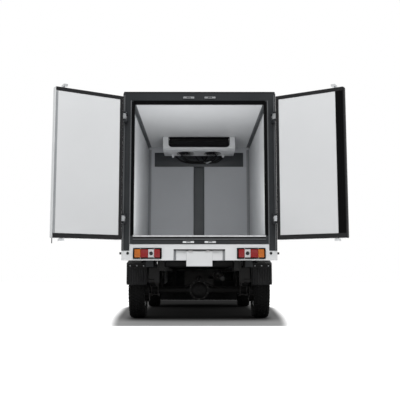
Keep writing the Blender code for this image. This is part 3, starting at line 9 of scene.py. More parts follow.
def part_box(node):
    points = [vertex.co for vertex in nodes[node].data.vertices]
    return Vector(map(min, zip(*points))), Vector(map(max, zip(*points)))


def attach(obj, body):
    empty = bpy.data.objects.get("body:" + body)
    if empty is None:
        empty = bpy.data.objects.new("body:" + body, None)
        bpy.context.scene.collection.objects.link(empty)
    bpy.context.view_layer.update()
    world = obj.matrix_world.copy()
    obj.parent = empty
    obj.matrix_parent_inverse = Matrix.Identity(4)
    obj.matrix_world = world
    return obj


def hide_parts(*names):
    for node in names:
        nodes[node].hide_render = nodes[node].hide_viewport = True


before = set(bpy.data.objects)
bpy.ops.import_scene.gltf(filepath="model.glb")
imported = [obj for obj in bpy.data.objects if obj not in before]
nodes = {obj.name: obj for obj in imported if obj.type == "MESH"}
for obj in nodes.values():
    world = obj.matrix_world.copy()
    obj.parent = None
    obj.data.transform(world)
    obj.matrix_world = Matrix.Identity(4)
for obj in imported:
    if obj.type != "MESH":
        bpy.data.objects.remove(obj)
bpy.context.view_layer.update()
print("frame loaded,", len(nodes), "nodes")

truck = {
    "rearY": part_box("rear_bumper")[0].y - 0.004,  # rear face of the box's frame
    "doorAngle": math.radians(150),
    "pinX": 0.775,
    "pinBack": 0.084,
    "sink": 0.0003,  # how far a plate lies in what carries it
}
rearY, sink = truck["rearY"], truck["sink"]


# ---- modelling helpers
def deselectAll():
    if bpy.context.mode != "OBJECT":
        bpy.ops.object.mode_set(mode="OBJECT")
    bpy.ops.object.select_all(action="DESELECT")


def makeActive(piece):
    deselectAll()
    piece.select_set(True)
    bpy.context.view_layer.objects.active = piece


def settle(piece, name=None):
    makeActive(piece)
    bpy.ops.object.transform_apply(location=True, rotation=True, scale=True)
    if name:
        piece.name = name
        piece.data.name = name
    return piece


def addBlock(name, low, high):
    deselectAll()
    middle = (Vector(low) + Vector(high)) / 2
    size = [abs(b - a) for a, b in zip(low, high)]
    bpy.ops.mesh.primitive_cube_add(size=1, location=middle, scale=size)
    return settle(bpy.context.object, name)


def addBar(name, start, end, radius, sides=16, endRadius=None):
    deselectAll()
    run = Vector(end) - Vector(start)
    turn = run.to_track_quat("Z", "Y").to_euler()
    bpy.ops.mesh.primitive_cone_add(
        vertices=sides, radius1=radius, radius2=radius if endRadius is None else endRadius,
        depth=run.length, location=(Vector(start) + Vector(end)) / 2, rotation=turn)
    return settle(bpy.context.object, name)


def addRing(name, centre, radius, thickness, along="Z", sides=32, rings=8):
    deselectAll()
    turn = {"X": (0, math.pi / 2, 0), "Y": (math.pi / 2, 0, 0), "Z": (0, 0, 0)}[along]
    bpy.ops.mesh.primitive_torus_add(
        major_segments=sides, minor_segments=rings, major_radius=radius, minor_radius=thickness,
        location=centre, rotation=turn)
    return settle(bpy.context.object, name)


def addBall(name, centre, radius, sides=16):
    deselectAll()
    bpy.ops.mesh.primitive_uv_sphere_add(segments=sides, ring_count=sides // 2, radius=radius,
                                         location=centre)
    return settle(bpy.context.object, name)


def editAll(piece):  # enters edit mode with everything selected
    makeActive(piece)
    bpy.ops.object.mode_set(mode="EDIT")
    bpy.ops.mesh.select_all(action="SELECT")


def editFaces(piece, wanted):  # enters edit mode with the faces picked by place and normal
    makeActive(piece)
    bpy.ops.object.mode_set(mode="EDIT")
    bpy.ops.mesh.select_mode(type="FACE")
    bpy.ops.mesh.select_all(action="DESELECT")
    shape = bmesh.from_edit_mesh(piece.data)
    for face in shape.faces:
        face.select_set(bool(wanted(face.calc_center_median(), face.normal)))
    bmesh.update_edit_mesh(piece.data)


def editEdges(piece, wanted):  # enters edit mode with the edges picked by middle and direction
    makeActive(piece)
    bpy.ops.object.mode_set(mode="EDIT")
    bpy.ops.mesh.select_mode(type="EDGE")
    bpy.ops.mesh.select_all(action="DESELECT")
    shape = bmesh.from_edit_mesh(piece.data)
    for edge in shape.edges:
        start, end = (corner.co for corner in edge.verts)
        edge.select_set(bool(wanted((start + end) / 2, (end - start).normalized())))
    bmesh.update_edit_mesh(piece.data)


def endEdit(piece):
    bpy.ops.object.mode_set(mode="OBJECT")
    return piece


# tests for the faces that look along an axis
facing = {
    "+X": lambda spot, normal: normal.x > 0.9, "+Y": lambda spot, normal: normal.y > 0.9,
    "-Y": lambda spot, normal: normal.y < -0.9, "+Z": lambda spot, normal: normal.z > 0.9,
    "-Z": lambda spot, normal: normal.z < -0.9,
}


def pushFaces(piece, wanted, move=(0, 0, 0), inset=0, depth=0):
    editFaces(piece, wanted)
    if inset or depth:
        bpy.ops.mesh.inset(thickness=inset, depth=depth)
    if any(move):
        bpy.ops.mesh.extrude_region_move(TRANSFORM_OT_translate={"value": move})
    return endEdit(piece)


# rounds the edges that run along one axis
def roundAlong(piece, axis, radius, steps=4, wanted=None):
    place = "XYZ".index(axis)
    editEdges(piece, lambda middle, way: abs(way[place]) > 0.99
              and (wanted is None or wanted(middle)))
    bpy.ops.mesh.bevel(offset=radius, segments=steps, affect="EDGES")
    return endEdit(piece)


def soften(piece, width, steps=2, angle=30):  # small bevel on every sharp edge, as a modifier
    makeActive(piece)
    bpy.ops.object.modifier_add(type="BEVEL")
    modifier = piece.modifiers[-1]
    modifier.width = width
    modifier.segments = steps
    modifier.limit_method = "ANGLE"
    modifier.angle_limit = math.radians(angle)
    bpy.ops.object.modifier_apply(modifier=modifier.name)
    return piece


def cutAway(piece, *cutters):
    for cutter in cutters:
        makeActive(piece)
        bpy.ops.object.modifier_add(type="BOOLEAN")
        modifier = piece.modifiers[-1]
        modifier.operation = "DIFFERENCE"
        modifier.solver = "EXACT"
        modifier.object = cutter
        bpy.ops.object.modifier_apply(modifier=modifier.name)
        bpy.data.objects.remove(cutter, do_unlink=True)
    return piece


def joinAll(name, pieces):
    deselectAll()
    for piece in pieces:
        piece.select_set(True)
    bpy.context.view_layer.objects.active = pieces[0]
    bpy.ops.object.join()
    return settle(bpy.context.object, name)


def copyPiece(piece, name, move=(0, 0, 0)):
    makeActive(piece)
    bpy.ops.object.duplicate(linked=False)
    twin = bpy.context.object
    twin.location = Vector(move)
    return settle(twin, name)


def turnPiece(piece, angle, centre, axis="Z"):
    turn = Matrix.Rotation(angle, 4, axis)
    piece.matrix_world = (Matrix.Translation(centre) @ turn
                          @ Matrix.Translation(-Vector(centre)) @ piece.matrix_world)
    return settle(piece)


def mirrorPiece(piece, name):  # twin on the other side of the truck
    makeActive(piece)
    bpy.ops.object.duplicate(linked=False)
    twin = bpy.context.object
    twin.scale.x = -1
    editAll(settle(twin, name))
    bpy.ops.mesh.normals_make_consistent(inside=False)
    return endEdit(twin)


def addObject(name, data):
    piece = bpy.data.objects.new(name, data)
    bpy.context.collection.objects.link(piece)
    return piece


def sweepRound(name, points, radius, sides, closed):  # round section along a line of points
    deselectAll()
    line = bpy.data.curves.new(name, "CURVE")
    line.dimensions = "3D"
    line.bevel_depth = radius
    line.bevel_resolution = max(sides // 4, 1)
    line.use_fill_caps = not closed
    line.resolution_u = 6
    spline = line.splines.new("POLY" if closed else "NURBS")
    spline.points.add(len(points) - 1)
    for knot, point in zip(spline.points, points):
        knot.co = (*point, 1)
    if closed:
        spline.use_cyclic_u = True
    else:
        spline.order_u = min(4, len(points))
        spline.use_endpoint_u = True
    makeActive(addObject(name, line))
    bpy.ops.object.convert(target="MESH")
    return settle(bpy.context.object, name)


def addPipe(name, points, radius, sides=10):  # bent round bar through points
    return sweepRound(name, points, radius, sides, False)


def addLoopPipe(name, points, radius, sides=8):  # closed bead through points
    return sweepRound(name, points, radius, sides, True)


def wear(piece, finish, body, smooth=35):  # gives a finished piece its surface and body
    makeActive(piece)
    if smooth:
        bpy.ops.object.shade_smooth_by_angle(angle=math.radians(smooth))
    piece.data.materials.clear()
    piece.data.materials.append(finish)
    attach(piece, body)
    return piece


def dressNode(node, finish, body, bevel=0.002, steps=2, slot=None, smooth=35, angle=30):
    # softened twin of a CAD node, which it stands for
    source = nodes[node]
    twin = addObject(node + "Shape", source.data.copy())
    twin.data.transform(source.matrix_world)
    editAll(twin)
    bpy.ops.mesh.remove_doubles(threshold=0.00002)
    bpy.ops.mesh.dissolve_limited(angle_limit=math.radians(0.5))
    endEdit(twin)
    if bevel:
        soften(twin, bevel, steps, angle)
    wear(twin, finish, body, smooth)
    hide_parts(node)
    return twin


# ---- camera, fitted to the photograph
print("camera and stage")
camera = {
    "place": (-0.015, rearY - 6.58, 0.4744),
    "pitchUp": 0.1167,
    "turnRight": 0.0033,
    "lens": 57.7,
}
bpy.ops.object.camera_add(location=camera["place"],
                          rotation=(math.pi / 2 + camera["pitchUp"], 0, -camera["turnRight"]))
eye = bpy.context.object
eye.data.lens = camera["lens"]
eye.data.sensor_width = 36
eye.data.clip_end = 200
scene = bpy.context.scene
scene.camera = eye
scene.view_settings.view_transform = "Standard"


# ---- floor and light
studio = {
    "floorSize": 60,
    "floorPale": (0.82, 0.82, 0.82),
    "floorPaintedShadow": (0.36, 0.36, 0.36),  # painted shadow in the floor's colour, where it starts behind the truck
    "floorPaintedDeepShadow": (0.030, 0.030, 0.030),  # the deepest painted shadow, between and ahead of the wheels
    "shadeHalf": 0.765,
    "shadeCore": (0.68, 0.86),  # where the darkest part under the truck ends at each side
    "shadeFlank": 0.25,  # share of that darkness beyond it
    "shadeDeepens": (rearY, rearY + 0.72),
    "shadeWiden": 0.10,
    "shadeCurve": 0.8,
    "shadeGrows": (-0.35, 3.25),  # where it starts to widen, and over what length
    "shadeNarrow": 0.06,  # for each metre ahead of that
    "shadeEnds": (rearY - 0.41, rearY + 5.8),
    "shadeSoft": 0.16,
    "airStrength": 0.55,
    "keyPlace": (0.4, rearY - 4.4, 5.0),
    "keySize": 3.5,
    "keyPower": 160,
    "topPower": 100,
    "sidePower": 90,
    "insidePower": 17.5,
}


def addMath(tree, operation, *values):
    step = tree.nodes.new("ShaderNodeMath")
    step.operation = operation
    for socket, value in zip(step.inputs, values):
        if hasattr(value, "links"):
            tree.links.new(value, socket)
        else:
            socket.default_value = value
    return step.outputs[0]


def mixColours(tree, share, first, second):
    mix = tree.nodes.new("ShaderNodeMix")
    mix.data_type = "RGBA"
    for socket, colour in ((mix.inputs[6], first), (mix.inputs[7], second)):
        if hasattr(colour, "links"):
            tree.links.new(colour, socket)
        else:
            socket.default_value = (*colour, 1)
    tree.links.new(share, mix.inputs[0])
    return mix.outputs[2]


def smoothRamp(tree, value, start, end, ends=(0, 1)):
    ramp = tree.nodes.new("ShaderNodeMapRange")
    ramp.interpolation_type = "SMOOTHSTEP"
    for socket, amount in zip(("From Min", "From Max", "To Min", "To Max"), (start, end, *ends)):
        ramp.inputs[socket].default_value = amount
    tree.links.new(value, ramp.inputs["Value"])
    return ramp.outputs[0]


def seenByEye(tree):  # one where the ray is seen straight, in a mirror or through glass
    path = tree.nodes.new("ShaderNodeLightPath").outputs
    first = addMath(tree, "MAXIMUM", path["Is Camera Ray"], path["Is Glossy Ray"])
    return addMath(tree, "MAXIMUM", first, path["Is Transmission Ray"])


def makeAir():
    world = bpy.data.worlds.new("studioAir")
    world.use_nodes = True
    scene.world = world
    tree = world.node_tree
    air = tree.nodes["Background"]
    air.inputs["Color"].default_value = (1, 1, 1, 1)
    air.inputs["Strength"].default_value = studio["airStrength"]
    clear = tree.nodes.new("ShaderNodeBackground")
    clear.inputs["Color"].default_value = (1, 1, 1, 1)
    clear.inputs["Strength"].default_value = 1
    mix = tree.nodes.new("ShaderNodeMixShader")
    tree.links.new(seenByEye(tree), mix.inputs[0])
    tree.links.new(air.outputs[0], mix.inputs[1])
    tree.links.new(clear.outputs[0], mix.inputs[2])
    tree.links.new(mix.outputs[0], tree.nodes["World Output"].inputs[0])


def makeFloor():  # white all round, with a shadow painted into its colour under the truck and on past the nose
    deselectAll()
    bpy.ops.mesh.primitive_plane_add(size=studio["floorSize"], location=(0, 0, -0.001))
    ground = settle(bpy.context.object, "studioFloor")
    paint = bpy.data.materials.new("studioFloor")
    paint.use_nodes = True
    tree = paint.node_tree
    shader = tree.nodes["Principled BSDF"]
    shader.inputs["Roughness"].default_value = 0.9
    shader.inputs["Specular IOR Level"].default_value = 0
    parts = tree.nodes.new("ShaderNodeSeparateXYZ")
    tree.links.new(tree.nodes.new("ShaderNodeTexCoord").outputs["Object"], parts.inputs[0])
    along, side = parts.outputs["Y"], addMath(tree, "ABSOLUTE", parts.outputs["X"])

    def work(operation, first, second):
        return addMath(tree, operation, first, second)

    # half the shade's width: it grows from the rear end on, then narrows again past the reach
    behind, reach = studio["shadeGrows"]
    grown = work("MINIMUM", work("MAXIMUM", work("SUBTRACT", along, rearY + behind), 0), reach)
    wider = work("MULTIPLY", work("POWER", grown, studio["shadeCurve"]), studio["shadeWiden"])
    past = work("MAXIMUM", work("SUBTRACT", along, rearY + behind + reach), 0)
    wider = work("SUBTRACT", wider, work("MULTIPLY", past, studio["shadeNarrow"]))
    # distance from the shade's outline, zero inside it
    rear, front = studio["shadeEnds"]
    outX = work("MAXIMUM", work("SUBTRACT", work("SUBTRACT", side, wider), studio["shadeHalf"]), 0)
    outY = work("MAXIMUM", work("MAXIMUM", work("SUBTRACT", along, front),
                                work("SUBTRACT", rear, along)), 0)
    away = addMath(tree, "SQRT",
                   work("ADD", work("MULTIPLY", outX, outX), work("MULTIPLY", outY, outY)))
    rise = smoothRamp(tree, away, 0, studio["shadeSoft"])
    # painted shadow: the floor's colour is darkened under and around the truck
    deepen = smoothRamp(tree, along, *studio["shadeDeepens"])
    core = smoothRamp(tree, side, *studio["shadeCore"], (1, studio["shadeFlank"]))
    shade = mixColours(tree, work("MULTIPLY", deepen, core), studio["floorPaintedShadow"],
                       studio["floorPaintedDeepShadow"])
    tree.links.new(mixColours(tree, rise, shade, studio["floorPale"]), shader.inputs["Base Color"])
    shader.inputs["Emission Color"].default_value = (1, 1, 1, 1)
    tree.links.new(work("MULTIPLY", seenByEye(tree), rise), shader.inputs["Emission Strength"])
    ground.data.materials.append(paint)


def addSoftLight(name, place, target, size, power, depth=None):
    deselectAll()
    aim = (Vector(target) - Vector(place)).to_track_quat("-Z", "Y").to_euler()
    bpy.ops.object.light_add(type="AREA", location=place, rotation=aim)
    lamp = bpy.context.object
    lamp.name = name
    lamp.data.size = size
    if depth:
        lamp.data.shape = "RECTANGLE"
        lamp.data.size_y = depth
    lamp.data.energy = power
    lamp.visible_camera = False
    lamp.visible_glossy = False
    return lamp


makeAir()
makeFloor()
addSoftLight("keyLight", studio["keyPlace"], (0, rearY, 1.2), studio["keySize"], studio["keyPower"])
addSoftLight("topLight", (0, 0.2, 6.2), (0, 0.2, 0), 5, studio["topPower"])
for side in (-1, 1):
    addSoftLight("sideLight", (side * 6.5, 0.8, 3.6), (0, 0.4, 1.0), 4, studio["sidePower"])
# a small lamp low in the doorway lifts the ceiling and the near ends of the walls
addSoftLight("insideLight", (-0.12, rearY + 0.20, 0.90), (-0.12, rearY + 0.75, 2.3), 1.1,
             studio["insidePower"], 0.35)


# ---- finishes
def startFinish(name, roughness=0.5, metallic=0.0):
    paint = bpy.data.materials.new(name)
    paint.use_nodes = True
    shader = paint.node_tree.nodes["Principled BSDF"]
    shader.inputs["Roughness"].default_value = roughness
    shader.inputs["Metallic"].default_value = metallic
    place = paint.node_tree.nodes.new("ShaderNodeTexCoord").outputs["Object"]
    return paint, paint.node_tree, shader, place


def addNoise(tree, place, scale, detail=3):
    noise = tree.nodes.new("ShaderNodeTexNoise")
    noise.inputs["Scale"].default_value = scale
    noise.inputs["Detail"].default_value = detail
    tree.links.new(place, noise.inputs["Vector"])
    return noise.outputs["Fac"]


def spread(tree, source, low, high, fromLow=0.3, fromHigh=0.7):
    scaled = tree.nodes.new("ShaderNodeMapRange")
    scaled.inputs["From Min"].default_value = fromLow
    scaled.inputs["From Max"].default_value = fromHigh
    scaled.inputs["To Min"].default_value = low
    scaled.inputs["To Max"].default_value = high
    tree.links.new(source, scaled.inputs["Value"])
    return scaled.outputs["Result"]


def addBump(tree, shader, height, strength, distance):
    bump = tree.nodes.new("ShaderNodeBump")
    bump.inputs["Strength"].default_value = strength
    bump.inputs["Distance"].default_value = distance
    tree.links.new(height, bump.inputs["Height"])
    tree.links.new(bump.outputs["Normal"], shader.inputs["Normal"])


def makeFinish(name, look):
    # two tones in soft clouds, fine grain in the colour, and gloss and bump from the same noises
    paint, tree, shader, place = startFinish(name, metallic=look.get("metallic", 0.0))
    clouds = addNoise(tree, place, look.get("cloudScale", 3), 4)
    grain = addNoise(tree, place, look.get("grainScale", 400), 2)
    colour = mixColours(tree, spread(tree, clouds, 0, 1), look["colour"], look["tone"])
    if "speck" in look:
        share = spread(tree, grain, 0, look.get("speckShare", 0.5), 0.5, 0.75)
        colour = mixColours(tree, share, colour, look["speck"])
    tree.links.new(colour, shader.inputs["Base Color"])
    low, high = look["roughness"]
    tree.links.new(spread(tree, clouds, low, high), shader.inputs["Roughness"])
    addBump(tree, shader, grain, look.get("bump", 0.1), look.get("bumpDepth", 0.0005))
    for socket, value in look.get("sockets", {}).items():
        shader.inputs[socket].default_value = value
    return paint


looks = {
    "panelWhite": {
        "colour": (0.70, 0.71, 0.72), "tone": (0.66, 0.67, 0.68), "roughness": (0.34, 0.46),
        "cloudScale": 1.4, "grainScale": 180, "bump": 0.05, "bumpDepth": 0.0006},
    "wallInside": {
        "colour": (0.66, 0.67, 0.68), "tone": (0.62, 0.63, 0.64), "roughness": (0.30, 0.42),
        "cloudScale": 1.1, "grainScale": 240, "bump": 0.06, "bumpDepth": 0.0006},
    "bodyPaint": {
        "colour": (0.72, 0.73, 0.74), "tone": (0.69, 0.70, 0.71), "roughness": (0.18, 0.26),
        "cloudScale": 2.0, "grainScale": 260, "bump": 0.03, "bumpDepth": 0.0003,
        "sockets": {"Coat Weight": 0.5, "Coat Roughness": 0.08}},
    "framePaint": {
        "colour": (0.017, 0.019, 0.021), "tone": (0.012, 0.014, 0.016), "roughness": (0.38, 0.52),
        "cloudScale": 4, "grainScale": 500, "bump": 0.12, "bumpDepth": 0.0004,
        "sockets": {"Specular IOR Level": 0.28}},
    # the frame's charcoal paint made paler: painted highlight along its ridges, and the paler paint
    # of the hinge leaves
    "framePale": {
        "colour": (0.075, 0.079, 0.084), "tone": (0.060, 0.064, 0.068), "roughness": (0.30, 0.42),
        "cloudScale": 5, "grainScale": 500, "bump": 0.08, "bumpDepth": 0.0003},
    "sealRubber": {
        "colour": (0.006, 0.006, 0.0065), "tone": (0.010, 0.010, 0.011), "roughness": (0.55, 0.72),
        "cloudScale": 9, "grainScale": 700, "bump": 0.15, "bumpDepth": 0.0004,
        "sockets": {"Specular IOR Level": 0.25}},
    # near-black, darker and duller than sealRubber: painted shade for gaps, grooves, openings and
    # deep bezels
    "gapBlack": {
        "colour": (0.0016, 0.0016, 0.0018), "tone": (0.003, 0.003, 0.0032), "roughness": (0.6, 0.8),
        "cloudScale": 9, "grainScale": 700, "bump": 0.15, "bumpDepth": 0.0004,
        "sockets": {"Specular IOR Level": 0.06}},
    "slatePanel": {
        "colour": (0.052, 0.057, 0.062), "tone": (0.044, 0.049, 0.054), "roughness": (0.30, 0.42),
        "cloudScale": 2, "grainScale": 300, "bump": 0.05, "bumpDepth": 0.0004},
    "slatePale": {
        "colour": (0.27, 0.28, 0.295), "tone": (0.24, 0.25, 0.262), "roughness": (0.30, 0.42),
        "cloudScale": 2, "grainScale": 300, "bump": 0.05, "bumpDepth": 0.0004},
    "doorEdge": {
        "colour": (0.30, 0.31, 0.32), "tone": (0.25, 0.26, 0.27), "metallic": 0.35,
        "roughness": (0.32, 0.45), "cloudScale": 6, "grainScale": 300, "bump": 0.06,
        "bumpDepth": 0.0003},
    "loadFloor": {
        "colour": (0.46, 0.47, 0.48), "tone": (0.38, 0.39, 0.40), "speck": (0.56, 0.57, 0.58),
        "roughness": (0.45, 0.7), "cloudScale": 3, "grainScale": 320, "bump": 0.5,
        "bumpDepth": 0.0012},
    "zinc": {
        "colour": (0.60, 0.61, 0.62), "tone": (0.46, 0.47, 0.48), "metallic": 0.9,
        "roughness": (0.26, 0.45), "cloudScale": 26, "grainScale": 300, "bump": 0.1,
        "bumpDepth": 0.0003},
    "chassisBlack": {
        "colour": (0.005, 0.005, 0.0054), "tone": (0.009, 0.0087, 0.0083),
        "speck": (0.024, 0.022, 0.020), "speckShare": 0.25, "roughness": (0.42, 0.7),
        "cloudScale": 7, "grainScale": 260, "bump": 0.25, "bumpDepth": 0.0008,
        "sockets": {"Specular IOR Level": 0.14}},
    "castIron": {
        "colour": (0.020, 0.0195, 0.019), "tone": (0.032, 0.031, 0.030), "speck": (0.07, 0.065,
                                                                                   0.06),
        "metallic": 0.4, "roughness": (0.5, 0.75), "cloudScale": 14, "grainScale": 220,
        "bump": 0.5, "bumpDepth": 0.0010},
    "exhaustSteel": {
        "colour": (0.020, 0.019, 0.018), "tone": (0.012, 0.0105, 0.0095), "metallic": 0.6,
        "roughness": (0.4, 0.7), "cloudScale": 11, "grainScale": 240, "bump": 0.3,
        "bumpDepth": 0.0006},
    "darkPlastic": {
        "colour": (0.012, 0.0125, 0.0135), "tone": (0.017, 0.0175, 0.0185),
        "roughness": (0.5, 0.66), "cloudScale": 5, "grainScale": 650, "bump": 0.35,
        "bumpDepth": 0.0005, "sockets": {"Specular IOR Level": 0.3}},
    "cabinPlastic": {
        "colour": (0.075, 0.077, 0.082), "tone": (0.09, 0.092, 0.097), "roughness": (0.55, 0.7),
        "cloudScale": 4, "grainScale": 600, "bump": 0.35, "bumpDepth": 0.0005},
    "housingPale": {
        "colour": (0.70, 0.71, 0.72), "tone": (0.65, 0.66, 0.67), "roughness": (0.36, 0.5),
        "cloudScale": 3, "grainScale": 520, "bump": 0.14, "bumpDepth": 0.0004},
    "wheelSilver": {
        "colour": (0.42, 0.43, 0.44), "tone": (0.34, 0.35, 0.36), "metallic": 0.5,
        "roughness": (0.3, 0.45), "cloudScale": 9, "grainScale": 400, "bump": 0.08,
        "bumpDepth": 0.0003},
    "mirrorSilver": {
        "colour": (0.86, 0.87, 0.88), "tone": (0.80, 0.81, 0.82), "metallic": 1.0,
        "roughness": (0.02, 0.05), "cloudScale": 3, "grainScale": 60, "bump": 0.01,
        "bumpDepth": 0.0001},
    "tyreBlack": {
        "colour": (0.0045, 0.0045, 0.0048), "tone": (0.007, 0.007, 0.0069),
        "speck": (0.016, 0.015, 0.014), "speckShare": 0.3, "roughness": (0.68, 0.9),
        "cloudScale": 12, "grainScale": 420, "bump": 0.3, "bumpDepth": 0.0007,
        "sockets": {"Specular IOR Level": 0.12}},
    "flapRubber": {
        "colour": (0.0048, 0.0050, 0.0056), "tone": (0.007, 0.0072, 0.0078),
        "roughness": (0.6, 0.8), "cloudScale": 9, "grainScale": 500, "bump": 0.2,
        "bumpDepth": 0.0005, "sockets": {"Specular IOR Level": 0.24}},
    # the inside walls' white painted darker for the front wall: painted shade deep in the box
    "wallFar": {
        "colour": (0.50, 0.515, 0.54), "tone": (0.46, 0.475, 0.50), "roughness": (0.30, 0.42),
        "cloudScale": 1.1, "grainScale": 240, "bump": 0.06, "bumpDepth": 0.0006},
    "seatCloth": {
        "colour": (0.06, 0.062, 0.068), "tone": (0.085, 0.087, 0.093), "speck": (0.15, 0.15, 0.16),
        "speckShare": 0.4, "roughness": (0.85, 0.95), "cloudScale": 6, "grainScale": 900,
        "bump": 0.5, "bumpDepth": 0.0008, "sockets": {"Sheen Weight": 0.3}},
}
finishes = {name: makeFinish(name, look) for name, look in looks.items()}


def makeGlass(name, colour, roughness, alpha):
    # tinted pane: clear along the glass, with a mirror sheen at the edges
    paint, tree, shader, place = startFinish(name)
    clouds = addNoise(tree, place, 2, 3)
    tree.links.new(mixColours(tree, clouds, colour, [part * 0.8 for part in colour]),
                   shader.inputs["Base Color"])
    tree.links.new(spread(tree, clouds, roughness, roughness * 2), shader.inputs["Roughness"])
    shader.inputs["Alpha"].default_value = alpha
    shader.inputs["IOR"].default_value = 1.45
    shader.inputs["Coat Weight"].default_value = 1
    shader.inputs["Coat Roughness"].default_value = 0.02
    return paint


finishes["paneGlass"] = makeGlass("paneGlass", (0.05, 0.065, 0.065), 0.03, 0.42)
finishes["clearLens"] = makeGlass("clearLens", (0.75, 0.78, 0.80), 0.05, 0.30)


def makeLens(name, colour, roughness=0.14):
    # moulded lamp glass: saturated colour over fine upright flutes and cross ribs
    paint, tree, shader, place = startFinish(name)
    clouds = addNoise(tree, place, 14, 3)
    tree.links.new(spread(tree, clouds, roughness, roughness * 1.8), shader.inputs["Roughness"])
    bands = []
    for way, count in (("X", 110), ("Z", 55)):
        wave = tree.nodes.new("ShaderNodeTexWave")
        wave.bands_direction = way
        wave.inputs["Scale"].default_value = count
        tree.links.new(place, wave.inputs["Vector"])
        bands.append(wave.outputs["Fac"])
    addBump(tree, shader, addMath(tree, "ADD", *bands), 0.35, 0.0012)
    # painted shade: deep colour down the sides of each flute, the full colour on its crown
    crown = spread(tree, bands[0], 0.0, 1.0)
    tree.links.new(mixColours(tree, crown, [part * 0.45 for part in colour], colour),
                   shader.inputs["Base Color"])
    shader.inputs["Specular IOR Level"].default_value = 0.25
    shader.inputs["Coat Weight"].default_value = 0.15
    shader.inputs["Coat Roughness"].default_value = 0.05
    return paint


finishes["lensRed"] = makeLens("lensRed", (0.34, 0.004, 0.006))
finishes["lensAmber"] = makeLens("lensAmber", (0.66, 0.17, 0.010))
finishes["lensClear"] = makeLens("lensClear", (0.78, 0.76, 0.76))

slotGroups = {
    "white_panel": "panelWhite wallInside wallFar", "white_paint": "bodyPaint",
    "charcoal_paint": "slatePanel slatePale framePaint framePale",
    "rubber": "flapRubber sealRubber gapBlack", "bright_steel": "mirrorSilver doorEdge zinc",
    "lamp_lens": "lensRed lensAmber", "clear_lens": "lensClear clearLens",
    "floor_panel": "loadFloor", "black_steel": "chassisBlack", "cast_metal": "castIron",
    "exhaust_steel": "exhaustSteel", "grey_plastic": "darkPlastic cabinPlastic",
    "pale_housing": "housingPale", "wheel_paint": "wheelSilver", "tyre_rubber": "tyreBlack",
    "seat_cloth": "seatCloth", "window_glass": "paneGlass",
}
slots = {finish: slot for slot, group in slotGroups.items() for finish in group.split()}


def put(piece, finish, body="chassis", smooth=35):
    return wear(piece, finishes[finish], body, smooth)


def dress(node, finish, body="chassis", **shape):
    return dressNode(node, finishes[finish], body, slot=slots.get(finish), **shape)


# ---- more helpers, in the truck's own length: zero at the rear face of the box's frame
def addPlate(name, across, along, up, edge=0.0015, steps=2):
    plate = addBlock(name, (across[0], rearY + along[0], up[0]),
                     (across[1], rearY + along[1], up[1]))
    return soften(plate, edge, steps) if edge else plate


def joinRings(shape, first, second):
    for index in range(len(first)):
        after = (index + 1) % len(first)
        shape.faces.new((first[index], first[after], second[after], second[index]))


def meshPiece(name, shape):  # object from a finished bmesh
    bmesh.ops.recalc_face_normals(shape, faces=shape.faces)
    mesh = bpy.data.meshes.new(name)
    shape.to_mesh(mesh)
    shape.free()
    return addObject(name, mesh)


def addCorner(name, ring, ends, axis):  # angle strip: an outline in two axes pushed along the third
    deselectAll()
    places = {"X": lambda a, b, c: (c, a, b), "Y": lambda a, b, c: (a, c, b),
              "Z": lambda a, b, c: (a, b, c)}[axis]
    shape = bmesh.new()
    low = [shape.verts.new(places(a, b, ends[0])) for a, b in ring]
    high = [shape.verts.new(places(a, b, ends[1])) for a, b in ring]
    shape.faces.new(low)
    shape.faces.new(high)
    joinRings(shape, low, high)
    return meshPiece(name, shape)


def onBothSides(piece, finish, body="chassis", smooth=35):
    twin = mirrorPiece(piece, piece.name.replace("Right", "Left"))
    put(piece, finish, body, smooth)
    return put(twin, finish, body.replace("right", "left"), smooth)


# hexagon head on a washer, facing -axis or +axis
def addBolt(name, place, radius, height, along="Y"):
    way = Vector({"X": (1, 0, 0), "Y": (0, -1, 0), "Z": (0, 0, -1)}[along])
    start = Vector(place)
    washer = addBar(name + "Washer", start, start + way * height * 0.3, radius * 1.45, 16)
    head = addBar(name + "Head", start + way * height * 0.3, start + way * height, radius, 6)
    pushFaces(head, lambda middle, normal: normal.dot(way) > 0.9, inset=radius * 0.18,
              depth=-height * 0.1)
    return joinAll(name, [washer, head])


# ---- rear frame: cap, ridges, seals, hinge leaves and keeper plates
print("rear frame")
rearFrame = {
    "half": 0.80,
    "top": 2.394,
    "floorTop": 0.8778,
    "sillLow": 0.7917,
    "postFoot": 0.7243,
    "sealProud": 0.002,  # under the closed doors
    "ridgeProud": 0.0045,  # beside them
    "leafRows": ((2.060, 2.158), (0.998, 1.100)),
    "keeperRows": (0.8120, 2.330),
}


